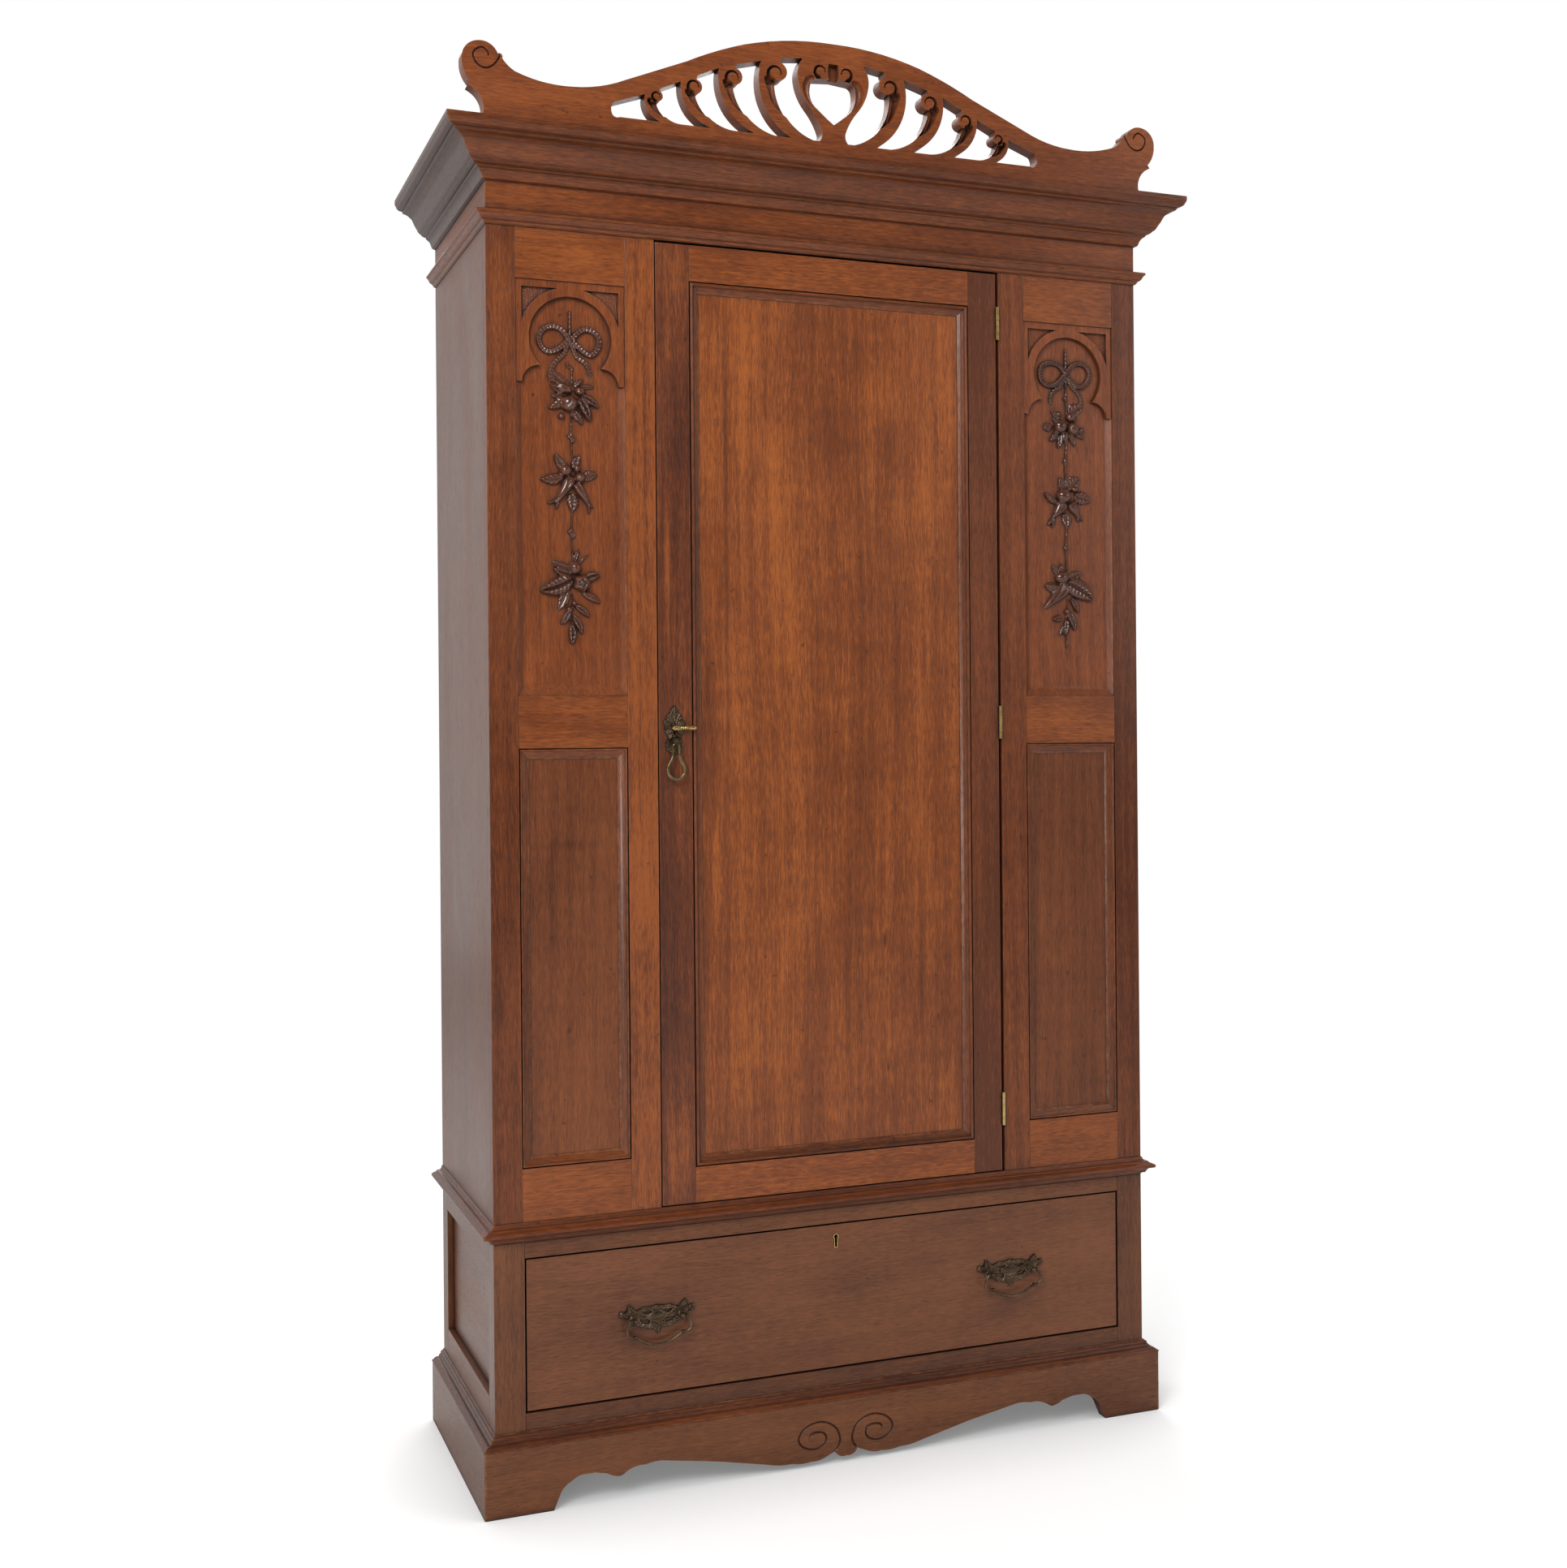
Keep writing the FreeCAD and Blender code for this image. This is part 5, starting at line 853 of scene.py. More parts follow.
# The two drops: a bow, three clusters of fruit and leaves and the stem between them, from the bow's knot.
# Each row of a kind is where the shape lies, its size and how far it stands out, then what sort it is.
drops = {
    "carving_left": {
        "knot": (-408.1, 1686.9),
        "band": [
            ([(-2.3, 2.1), (-10.6, 13.1), (-23.8, 18), (-37.2, 13.7), (-44.5, 2.3), (-42.3, -10.7), (-32.5, -18.9),
              (-19.1, -15.6), (-7.4, -6.5), (-1.3, -1.1)], 8, 6),
            ([(2.7, -0.8), (11.2, 9.7), (23, 16.6), (36.5, 13.3), (43.9, 2.2), (41.4, -11.3), (32.2, -20.3),
              (22.7, -17.6), (13.4, -10), (4.4, -2.4)], 8, 6),
            ([(-2, -4.5), (-7.5, -19.8), (-17.6, -29.7), (-25, -40.8), (-28.4, -51.6), (-27.8, -59.1)], 7, 4),
            ([(3.3, -5.8), (10.9, -23.4), (22.6, -31.6), (28.3, -40.5), (29.9, -51)], 7, 4),
        ],
        "stem": [
            ([(0.4, 39.7), (0.7, 0.7)], 2.3, 4.5), ([(3, -40.9), (3.2, -65.4)], 1.4, 3),
            ([(1.9, -101.9), (1.5, -141.6), (3.3, -171.3)], 1.4, 3),
            ([(2.7, -248.1), (1, -280.6), (2.7, -321.9)], 1.4, 3),
            ([(2, -370), (2.8, -386.5), (-0.7, -403.8), (0.1, -436.2)], 1.2, 2.8),
        ],
        "fruit": [
            ((0, 0), (4, 5), 7.5), ((-7.9, -70.7), (12.8, 7), 9, "cleft", -22),
            ((14.9, -73.9), (8.4, 6.6), 9.5, "cleft", 10), ((-0.7, -92.7), (13.1, 12.6), 13, "crescent", 20),
            ((-12.6, -111.3), (5, 5), 6.5, "berry"), ((9.5, -186.9), (5.4, 6.6), 8),
            ((-7.2, -190.3), (9.7, 8.6), 11, "berry"), ((13.8, -200), (8.7, 7.9), 10.5, "seeds"),
            ((5.7, -331.5), (9.4, 10.3), 11, "hip"), ((15.5, -353.7), (14.4, 14.2), 13, "rose"),
            ((3.9, -383.2), (4.4, 4.3), 7, "berry"), ((-3.2, -392.6), (5.4, 5.3), 7.5, "berry"),
        ],
        "leaf": [
            ((-0.3, -37.1), (5.7, -44.7), 5.4, 4), ((1.7, -42.3), (-4.9, -31.5), 5.4, 4),
            ((-0.5, -66.9), (-31, -43.2), 18.1, 2.6, "teeth"), ((5.5, -68.5), (21.1, -56.3), 8.7, 3.5),
            ((12.9, -69.7), (37.9, -67.1), 8.7, 3), ((-6.3, -75.9), (-29.2, -66.1), 11.4, 6),
            ((-9.7, -80.1), (-28.7, -82.6), 8.7, 5), ((-6.4, -84.2), (-31.5, -101.8), 14.8, 6.5, "curl"),
            ((12.8, -83), (28.6, -118.2), 15.5, 8.5), ((16.2, -79.5), (43, -97.4), 13.4, 7),
            ((4.5, -101.7), (18.5, -123.4), 11.4, 5), ((3.5, -103.4), (9.1, -118), 7.4, 4),
            ((-1.1, -137.1), (6.2, -150.6), 7.4, 4.5), ((4.9, -145.4), (-4.5, -137.9), 4.7, 4),
            ((-3.9, -189.8), (-22.7, -166.6), 15.5, 5), ((5.5, -189.4), (13.4, -166.8), 13.4, 5),
            ((-9, -199), (-44.9, -204.6), 17.5, 6.5, "curl"), ((17.8, -200.4), (40.9, -194.1), 16.8, 4, "teeth"),
            ((1.5, -222.7), (2.6, -250.8), 18.1, 4.5, "teeth"), ((-19.9, -232.5), (-34.6, -239), 5.4, 5),
            ((-18.6, -232.4), (-22.1, -247.7), 4.7, 5), ((24.3, -236), (34.3, -244.3), 4.7, 5),
            ((25, -235.3), (26.8, -253.2), 4.4, 5), ((-1.6, -275.4), (5, -289.8), 7.4, 4.5),
            ((3.7, -283.8), (-5, -276.8), 4.7, 4), ((6.1, -322.2), (12.3, -304.1), 7.4, 4),
            ((12.8, -325.3), (27.7, -310.9), 4.7, 3), ((0.6, -332.9), (-29.3, -321.8), 13.4, 4.5, "teeth"),
            ((2.5, -341.8), (-26.8, -333), 13.4, 6), ((-5.3, -360.8), (-20.6, -394.8), 16.8, 3, "teeth"),
            ((3.2, -347.4), (-46.9, -366.4), 26.9, 8.5, "veined"), ((20, -348), (43, -341.1), 14.8, 7, "veined"),
            ((16.4, -368), (43.3, -383.1), 12.8, 6, "curl"), ((6.2, -386.4), (26.9, -403.3), 11.4, 6),
            ((-2.6, -393.9), (-16.1, -414.6), 10.8, 6), ((2.1, -399.7), (15.9, -429.4), 11.4, 6),
            ((-0.1, -413.7), (-0.3, -444.1), 12.8, 6.5),
        ],
        "pod": [
            ((3.1, -198.4), (-22, -239.2), 18.1, 11), ((7.7, -207.5), (28.3, -242.5), 15.5, 10),
        ],
    },
    "carving_right": {
        "knot": (405.1, 1691.8),
        "band": [
            ([(-2, 2.6), (-11.5, 12.3), (-26.9, 15.3), (-41.2, 10.3), (-45.9, -2), (-42.6, -14.4), (-31.1, -21.6),
              (-17.6, -19), (-5.9, -8), (-0.8, -2.5)], 8, 6),
            ([(2.7, 1.2), (11.7, 12.1), (25.4, 17.5), (39, 12.9), (44.8, 0.5), (38.8, -13.7), (27, -20.3),
              (15.3, -15.2), (6.5, -7.1), (1.9, -2.3)], 8, 6),
            ([(-2, -6), (-8, -21.8), (-20.8, -30.2), (-26.3, -40.8), (-26.4, -49.7)], 7, 4),
            ([(4.2, -7.3), (13.3, -21.5), (23, -29.5), (29.1, -39.5), (29.1, -49.1)], 7, 4),
        ],
        "stem": [
            ([(1.1, 37.2), (0.8, 2.1)], 2.4, 4.5), ([(1.8, -7.4), (0.8, -38.4), (2.8, -65.8)], 1.6, 3.4),
            ([(2, -114), (-0.3, -148.4), (1.3, -184.4)], 1.6, 3.4),
            ([(1.5, -248), (-0.3, -282.4), (1.2, -325.3)], 1.6, 3.4),
            ([(1.6, -366.9), (0.6, -385.5), (-0.7, -402.7), (-0.7, -444.6)], 1.2, 2.8),
        ],
        "fruit": [
            ((0, 0), (4.7, 4.5), 7.5), ((0.4, -40.5), (4.7, 4.1), 5), ((-11.1, -66.6), (5.1, 4.1), 5.5, "berry"),
            ((-32.1, -88.4), (8.6, 8.2), 5.5, "rose"), ((30.6, -90.4), (4.3, 4.1), 5, "berry"),
            ((29, -98.8), (3.5, 3.4), 4, "berry"), ((9.8, -70.9), (9.3, 7.9), 9.5),
            ((13.9, -89.3), (11.3, 10.6), 12, "crescent", -35), ((-9.4, -86.4), (12.1, 11.7), 12.5, "hip"),
            ((-0.6, -142.3), (4.7, 5.8), 5.5), ((15.7, -187.6), (7.4, 4.8), 8.5, "berry"),
            ((20.3, -195.7), (4.3, 3.4), 6, "berry"), ((-3.8, -198.7), (13.6, 12.3), 12.5, "hip"),
            ((-0.3, -282.4), (5.4, 4.1), 5), ((-8.9, -331.4), (12.8, 10.3), 11.5, "berry"),
            ((0.6, -386.2), (5.4, 5.1), 7, "berry"),
        ],
        "leaf": [
            ((5.9, -67.4), (34.1, -51.6), 24.1, 2.4, "teeth"), ((-8.1, -73.3), (-26.5, -61.3), 10.1, 4),
            ((-11.2, -76.9), (-25.8, -74.3), 7.8, 4), ((-13.7, -94.2), (-29.3, -111.5), 12.4, 5.5, "curl"),
            ((-8.3, -99.1), (-14.7, -123.1), 10.9, 5), ((7.2, -97.2), (17.1, -118.7), 10.1, 4.5),
            ((16.6, -91.9), (34.4, -105.4), 13.2, 4.5, "teeth"), ((0.1, -187.9), (-12.1, -168.2), 14.8, 4),
            ((4.8, -187.7), (26.8, -169.2), 24.9, 3, "teeth"),
            ((-14.8, -211.5), (-39.2, -194.7), 11.7, 7.5, "curl"), ((15.6, -200), (46, -206.4), 21.8, 4.5, "teeth"),
            ((-0.2, -225.7), (0.7, -250.8), 19.4, 4.5, "teeth"), ((-22.7, -231.7), (-34.4, -247.9), 5.8, 5),
            ((-21.9, -231.7), (-26.7, -251.7), 5.1, 5), ((21.5, -228), (30.8, -239.4), 5.8, 5),
            ((20, -228.8), (22.2, -241.1), 4.7, 5), ((-12, -326), (-25.7, -311.3), 10.9, 4),
            ((-6.5, -323.8), (-9.5, -307.4), 9.3, 4), ((3.4, -333.9), (31.6, -322.8), 14.8, 3, "teeth"),
            ((-16, -347.4), (-39.9, -344.5), 17.9, 5.5, "curl"),
            ((-0.5, -339.5), (46.8, -367.4), 32.7, 8.5, "veined"), ((7.8, -363.3), (20.8, -388.6), 11.7, 6),
            ((3.7, -386.1), (14.3, -417.6), 14, 6), ((-8.7, -395.2), (-26.5, -399), 10.9, 5.5, "veined"),
            ((-0.3, -398.5), (-5.9, -425.4), 11.7, 6), ((-7.3, -409), (-14.5, -426.9), 5.4, 3),
            ((-0.5, -426.7), (-0.7, -445.3), 4.7, 3),
        ],
        "pod": [
            ((-1.3, -93.5), (1.6, -116.7), 14, 7), ((-2.4, -209), (-24.2, -234.5), 21.8, 10.5),
            ((8.5, -208.6), (23.8, -234.8), 19.4, 9.5), ((3.4, -341.4), (-41, -382.1), 24.9, 9.5),
        ],
    },
}
dropCut = {"ground": -172.0, "step": 0.8, "room": 12.0, "sink": 0.8, "lowest": -1.2, "far": -9.0,
           "toolMarks": 0.05, "toolPitch": ((1.9, 0.31), (1.6, 0.27)), "grainAxis": 2, "tone": -0.6, "degrees": 62}


def carveDrop(nodeName, drop):
    low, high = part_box(nodeName)
    kx, kz = drop["knot"]
    reach = dropCut["room"]
    X, Z = chart((low[0] / mm - reach, low[2] / mm - reach), (high[0] / mm + reach, high[2] / mm + reach),
                 dropCut["step"])
    rows = [(kind, *row) for kind in shapeMakers for row in drop[kind]]
    height = highest(X - kx, Z - kz, rows, np.full(X.shape, dropCut["far"]))
    (acrossPitch, acrossSway), (upwardPitch, upwardSway) = dropCut["toolPitch"]
    marks = np.sin(X * acrossPitch + 2.0 * np.sin(Z * acrossSway))
    marks = marks * np.sin(Z * upwardPitch + 2.0 * np.sin(X * upwardSway))
    height = height + np.where(height > 1, dropCut["toolMarks"] * marks, 0)
    height = softened(np.maximum(height, dropCut["lowest"]))
    mesh = reliefMesh(f"{nodeName}_relief", X, Z, height, dropCut["ground"], dropCut["sink"])
    grainOn(mesh, nodeName, dropCut["grainAxis"], dropCut["tone"])
    piece = makePiece(f"{nodeName}_work", [mesh], [nodeName], dropCut["degrees"])
    return dress(piece, "drop_wood")


for nodeName, drop in drops.items():
    piece = carveDrop(nodeName, drop)
    print("carved drop:", nodeName, len(piece.data.polygons), "faces")


def mirrored(value):
    if isinstance(value, list):
        return [mirrored(point) for point in value]
    return (-value[0], value[1]) if isinstance(value, tuple) else value


def both(rows):
    return rows + [tuple(mirrored(value) for value in row) for row in rows]


# A cut of a V gouge along a line: deepest in the middle, running out at both ends.
def grooveDepth(X, Z, line, width, depth):
    gap, run, total = besideLine(X, Z, line)
    ends = np.clip(np.minimum(run, total - run) / (1.2 * width), 0, 1) ** 0.5
    return -depth * ends * np.clip(1 - gap / (width / 2), 0, 1)


def hollowDepth(X, Z, line, width, depth):
    gap, run, total = besideLine(X, Z, line)
    ends = np.sin(math.pi * np.clip(run / total, 0, 1) ** 0.7) ** 0.6
    half = 0.5 * width * np.maximum(ends, 0.05)
    return -depth * ends * np.clip(1 - (gap / half) ** 2, 0, 1)


# The crest: a groove round each volute, a spiral in each scrolled end, curved floors in its hollows and scoops
# beside the heart. A volute is its eye's middle and radius, a hollow its top, foot and toe.
crestCut = {
    "front": -193.0, "hollowFloor": -182.0, "step": 0.75, "floorStep": 0.9, "rim": 0.7, "ease": 0.0006,
    "volutes": [(279.3, 2051.8, 4.6), (221.8, 2073.8, 6.4), (161.2, 2094.6, 7.3), (93.5, 2109.6, 8),
                (20.6, 2121.4, 6.6)],
    "eye": 8, "from": -75, "turn": 262, "points": 48,
    "thin": 1.6, "swell": 7.4, "taper": 1.35, "shallow": 1.5, "deepen": 8.0, "fade": 0.8, "wall": 1.35,
    "line": 3.0, "depth": 2.6,
    "endScroll": [(526.2, 2078.4), (525.7, 2082.3), (530.8, 2089.3), (537.5, 2089.7), (545.1, 2084.5),
                  (547.1, 2076.6), (541.5, 2065.9), (530.1, 2061.6), (518.6, 2066.9), (509.9, 2079.6),
                  (509.9, 2084.4)],
    "hollows": [((278.9, 2042.0), (252.9, 2022.9), (242.9, 2014.4)),
                ((219.5, 2062.0), (177.3, 2033.4), (160.0, 2014.4)),
                ((160.3, 2082.7), (113.3, 2033.5), (95.0, 2014.4)),
                ((94.4, 2095.0), (50.9, 2037.0), (33.8, 2014.4))],
    "bow": 0.165, "hollowWidth": 11.0, "rimHeight": 6.5, "ridge": 6, "ridgeHalf": 1.6, "ridgeHeight": 1.4,
    "spineCut": 5.5, "spineRun": 0.75, "spineWall": 1.6, "cutDepth": 10.0,
    "scoops": [[(31, 2112), (40, 2105), (43, 2094), (39, 2078), (29, 2064)]], "scoopWidth": 15.0, "scoopDepth": 8.0,
}


# A volute's groove leaves the hollow below it, goes round the eye and runs out, narrower and shallower.
def voluteDepth(X, Z, x, z, radius):
    cut = crestCut

    def widthAt(left):
        return (cut["thin"] + cut["swell"] * left ** cut["taper"]) * radius / cut["eye"]

    line = []
    last = cut["points"] - 1
    for i in range(cut["points"]):
        angle = math.radians(cut["from"] + cut["turn"] * i / last)
        out = radius + widthAt(1 - i / last) / 2
        line.append((x + out * math.cos(angle), z + out * math.sin(angle)))
    gap, run, total = besideLine(X, Z, line)
    left = 1 - run / total
    deep = cut["shallow"] + cut["deepen"] * left ** cut["fade"]
    return -deep * np.clip(cut["wall"] * (1 - gap / (0.5 * widthAt(left))), 0, 1)


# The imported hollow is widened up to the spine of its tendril.
def spineDepth(X, Z, top, foot, size):
    (topX, topZ), (footX, footZ) = [(x + crestCut["hollowWidth"], z) for x, z in (top, foot)]
    chordX, chordZ = footX - topX, footZ - topZ
    middle = ((topX + footX) / 2 - crestCut["bow"] * chordZ, (topZ + footZ) / 2 + crestCut["bow"] * chordX)
    gap, run, total = besideLine(X, Z, smoothLine([(topX, topZ + 3), (topX, topZ), middle, (footX, footZ)]))
    wide = crestCut["spineCut"] * size * np.clip(1 - run / (crestCut["spineRun"] * total), 0, 1)
    return -crestCut["cutDepth"] * np.clip((wide - gap) / crestCut["spineWall"], 0, 1)


def crestFront(X, Z):
    side = np.abs(X)
    depth = grooveDepth(side, Z, smoothLine(crestCut["endScroll"]), crestCut["line"], crestCut["depth"])
    for x, z, radius in crestCut["volutes"]:
        depth = np.minimum(depth, voluteDepth(side, Z, x, z, radius))
    for (top, foot, _), (_, _, radius) in zip(crestCut["hollows"], crestCut["volutes"]):
        depth = np.minimum(depth, spineDepth(side, Z, top, foot, radius / crestCut["eye"]))
    for scoop in crestCut["scoops"]:
        scooped = hollowDepth(side, Z, smoothLine(scoop), crestCut["scoopWidth"], crestCut["scoopDepth"])
        depth = np.minimum(depth, scooped)
    return depth


# The hollow's floor climbs to a rim along the tendril's open edge, over a low ridge between two flutes.
def crestHollow(X, Z):
    cut = crestCut
    height = np.zeros(X.shape)
    for (topX, topZ), _, (toeX, toeZ) in cut["hollows"]:
        chordX, chordZ = toeX - topX, toeZ - topZ
        line = []
        for i in range(13):
            t = i / 12
            bow = cut["bow"] * 4 * t * (1 - t)
            line.append((topX + t * chordX - bow * chordZ, topZ + t * chordZ + bow * chordX))
        gap, _, _ = besideLine(np.abs(X), Z, line)
        rim = cut["rimHeight"] * np.clip(1 - gap / cut["hollowWidth"], 0, 1) ** 2
        ridge = cut["ridgeHeight"] * np.clip(1 - np.abs(gap - cut["ridge"]) / cut["ridgeHalf"], 0, 1)
        height = np.maximum(height, rim + ridge)
    return height


carvedBoard("crest", crestCut["ease"], [
    (crestCut["front"], crestFront, crestCut["step"], crestCut["rim"]),
    (crestCut["hollowFloor"], crestHollow, crestCut["floorStep"], crestCut["rim"]),
], 0, boardToneAndLight["crest"][0])
print("crest carved")

# The apron: a pair of spirals cut from the middle cusp.
apronCut = {
    "front": -200.0, "step": 0.9, "ease": 0.0009, "line": 3.4, "depth": 2.4,
    "spiral": [(18, 19), (11.5, 28), (10, 38), (15, 52), (27, 62), (42, 66.5), (58, 64), (71, 56), (77, 44), (71, 33),
               (58, 27), (46, 27), (36, 32), (32, 40), (36, 48.5), (46, 51.5), (56, 49.5), (60, 43)],
}


def apronFront(X, Z):
    return grooveDepth(np.abs(X), Z, smoothLine(apronCut["spiral"]), apronCut["line"], apronCut["depth"])


carvedBoard("plinth_front", apronCut["ease"], [(apronCut["front"], apronFront, apronCut["step"], 0)], None,
            boardToneAndLight["plinth_front"][0])

# The carved panels: the sunk corners above the arch are punched all over.
punchCut = {"ground": -175.0, "step": 0.62, "ease": 0.0006, "pitch": 2.3, "reach": 0.46, "depth": 0.75}


def punched(X, Z):
    p = punchCut["pitch"]
    row = np.round(Z / p)
    x = X / p + 0.5 * (row % 2) + 0.22 * np.sin(row * 2.7)
    z = Z / p + 0.2 * np.sin(np.round(x) * 3.1)
    gap = np.hypot(x - np.round(x), z - np.round(z)) / punchCut["reach"]
    return -punchCut["depth"] * np.clip(1 - gap ** 2, 0, 1)


for nodeName in ("carved_panel_left", "carved_panel_right"):
    fronts = [(punchCut["ground"], punched, punchCut["step"], 0)]
    carvedBoard(nodeName, punchCut["ease"], fronts, 2, boardToneAndLight[nodeName][0])
print("apron and panels carved")


# Cast brass: a plate keeps its packed outline and windows and takes leaves in low relief.
plateCut = {"margin": 0.5, "keep": 0.15, "degrees": 50}


def castPlate(nodeName, plate):
    def relief(X, Z):
        height = np.zeros(X.shape)
        for cx, cz in plate["centres"]:
            height = highest(X - cx, Z - cz, plate["rows"], height)
        return height

    meshes = []
    for number, faces in enumerate(solidsOf(nodeName)):
        bm = meshOfSolid(faces)
        roundOver(bm, plate["ease"])
        carveFace(bm, plate["face"], relief, plate["step"], plateCut["margin"], plateCut["keep"])
        bmesh.ops.recalc_face_normals(bm, faces=bm.faces[:])
        meshes.append(finished(bm, f"{nodeName}_{number}"))
    return evenShade(makePiece(f"{nodeName}_cast", meshes, [nodeName], plateCut["degrees"]))


lockPlate = {
    "face": -182.6, "step": 0.32, "ease": 0.0002, "centres": [(-257.0, 1121.0)],
    "rows": both([
        ("leaf", (2, 7), (10, 25), 8, 1.1), ("leaf", (5, 4), (15.5, 8.5), 7, 1.1),
        ("leaf", (6, 12), (12, 17), 5, 0.9), ("leaf", (5, -2), (13, -9), 6, 0.9),
        ("leaf", (4, -9), (10, -16), 5, 0.9),
        ("band", [(0, 5.6), (4.6, 3.8), (5.6, 0), (4.2, -4.2), (2.2, -7.6)], 1.5, 1.0),
        ("band", [(0, -13.4), (8.4, -17), (11.2, -25), (8.4, -33), (0, -36.6)], 1.6, 1.0),
        ("fruit", (2.2, 20.5), (1.3, 2.4), 1.5), ("fruit", (8.5, 12.5), (1.3, 1.3), 1.3),
    ]) + [("leaf", (0, 9), (0, 33), 10, 1.3, "veined"), ("leaf", (0, -11), (0, -16), 5, 0.9)],
}
castPlate("lock_plate", lockPlate)

handlePlate = {
    "face": -180.8, "step": 0.5, "ease": 0.00025, "centres": [(-290.0, 253.0), (290.0, 253.0)],
    "rows": both([
        ("leaf", (18, 3), (43, 21), 11, 1.5, "veined"), ("leaf", (22, -2), (37, -11), 9, 1.3),
        ("leaf", (14, 8), (31, 15), 7, 1.2), ("leaf", (26, 4), (46, 9), 7, 1.2),
        ("leaf", (3, -8), (15, -17), 8, 1.2), ("leaf", (12, -5), (26, -14), 7, 1.1),
        ("fruit", (52, 7), (5.2, 5), 2.0, "rose"), ("fruit", (46.5, 13), (2.6, 2.6), 1.6),
        ("fruit", (9, 14.6), (1.7, 1.7), 1.4), ("fruit", (13.5, 13.8), (1.5, 1.5), 1.3),
        ("fruit", (17.6, 13.4), (1.5, 1.5), 1.3),
        ("band", [(0, 9.5), (10, 8.6), (17, 3.5), (17.5, -3), (10, -8), (0, -9.6)], 1.8, 1.2),
    ]) + [("fruit", (0, 1.5), (13, 5.6), 1.7), ("leaf", (0, 9), (0, 18.2), 8, 1.4),
          ("leaf", (0, -9), (0, -24.6), 9, 1.4, "veined")],
}
castPlate("handle_plates", handlePlate)
print("brass plates cast")


# Lays faces between rings of points and closes both ends.
def ringMesh(bm, rings, name):
    sides = len(rings[0])
    for low, high in zip(rings, rings[1:]):
        for k in range(sides):
            bm.faces.new((low[k], low[(k + 1) % sides], high[(k + 1) % sides], high[k]))
    bm.faces.new(rings[0])
    bm.faces.new(rings[-1])
    bmesh.ops.recalc_face_normals(bm, faces=bm.faces[:])
    return finished(bm, name)


def ringAt(bm, spot, side, other, size, sides):
    turns = [2 * math.pi * k / sides for k in range(sides)]
    return [bm.verts.new(spot + (side * math.cos(a) + other * math.sin(a)) * size) for a in turns]


# A rod that swells and thins along a line, closed with rounded ends. Points and radii are in millimetres.
rodEnd = {"shares": (0.55, 0.95), "reach": 0.5, "least": 0.02}


def swellingRod(points, radii, sides=16):
    bm = bmesh.new()
    places = [Vector(p) * mm for p in points]
    sizes = [r * mm for r in radii]
    first = (places[0] - places[1]).normalized()
    last = (places[-1] - places[-2]).normalized()
    for share in rodEnd["shares"]:
        thinner = math.sqrt(max(rodEnd["least"], (1 - share) ** 2))
        places.insert(0, places[0] + first * radii[0] * mm * rodEnd["reach"] * share)
        sizes.insert(0, radii[0] * mm * thinner)
        places.append(places[-1] + last * radii[-1] * mm * rodEnd["reach"] * share)
        sizes.append(radii[-1] * mm * thinner)
    rings = []
    side = None
    for number, spot in enumerate(places):
        before = places[max(0, number - 1)]
        after = places[min(len(places) - 1, number + 1)]
        along = (after - before).normalized()
        side = along.orthogonal().normalized() if side is None else (side - along * side.dot(along)).normalized()
        rings.append(ringAt(bm, spot, side, along.cross(side), sizes[number], sides))
    return ringMesh(bm, rings, "rod")


# A turned shape: rows of how far along the axis and how far out, in millimetres.
def turnedShape(rows, start, along, sides=28):
    axis = Vector(along).normalized()
    side = axis.orthogonal().normalized()
    other = axis.cross(side)
    bm = bmesh.new()
    rings = [ringAt(bm, (Vector(start) + axis * far) * mm, side, other, max(out, 0.05) * mm, sides)
             for far, out in rows]
    return ringMesh(bm, rings, "turning")


# A bead's rows: full size near its middle and smaller at its faces.
def beadRows(size, half, flat, share):
    return [(-half, size * share), (-flat, size), (flat, size), (half, size * share)]


def packedMeshes(nodeName):
    return [finished(meshOfSolid(faces), f"{nodeName}_{number}") for number, faces in enumerate(solidsOf(nodeName))]


# The key's lever: an oval bulb, five rings and an oval end.
keyLever = {
    "start": (-262.6, -190.1, 1121.0),
    "rows": [(0, 0.2), (0.5, 1.5), (1.8, 2.6), (4, 3.4), (6.5, 3.7), (9, 3.4), (11.2, 2.6), (12.4, 1.9), (13.2, 1.8),
             (13.8, 2.6), (14.6, 2.9), (15.2, 2.2), (15.8, 2.0), (16.4, 2.8), (17.2, 3.2), (17.9, 2.3), (18.5, 2.2),
             (19.1, 3.0), (19.9, 3.3), (20.7, 2.4), (21.2, 2.2), (21.8, 2.9), (22.6, 3.1), (23.3, 2.2), (23.8, 2.0),
             (24.5, 2.6), (25.2, 2.7), (25.9, 2.0), (26.8, 1.9), (28.2, 2.4), (30.5, 3.0), (33, 3.1), (35.4, 2.8),
             (37, 2.0), (37.9, 0.8), (38.1, 0.2)],
}
makePiece("key_lever", packedMeshes("key") + [turnedShape(keyLever["rows"], keyLever["start"], (1, 0, 0))], ["key"])

# The drop pull: a pear-shaped loop with beads at its neck and ticks at the sides of its foot.
dropPull = {
    "pin": (-257.0, -191.6, 1103.0),
    "line": [(0, -5.2), (3.3, -6.4), (4.9, -10), (4.5, -15), (4.7, -20), (5.9, -25.5), (9.2, -32.5), (12.2, -38.5),
             (13.1, -44), (11.9, -49.5), (8.2, -54.2), (4.2, -56.6), (0, -57.4)],
    "radii": [1.7, 1.7, 1.6, 1.5, 1.5, 1.8, 1.7, 1.7, 1.8, 2.0, 2.1, 2.1, 2.1],
    "beads": [(5.0, -22.4, 2.4, (0.35, -1)), (12.9, -46.6, 2.8, (1, 1.2))], "beadForm": (1.1, 0.7, 0.7),
    "sides": 18,
}


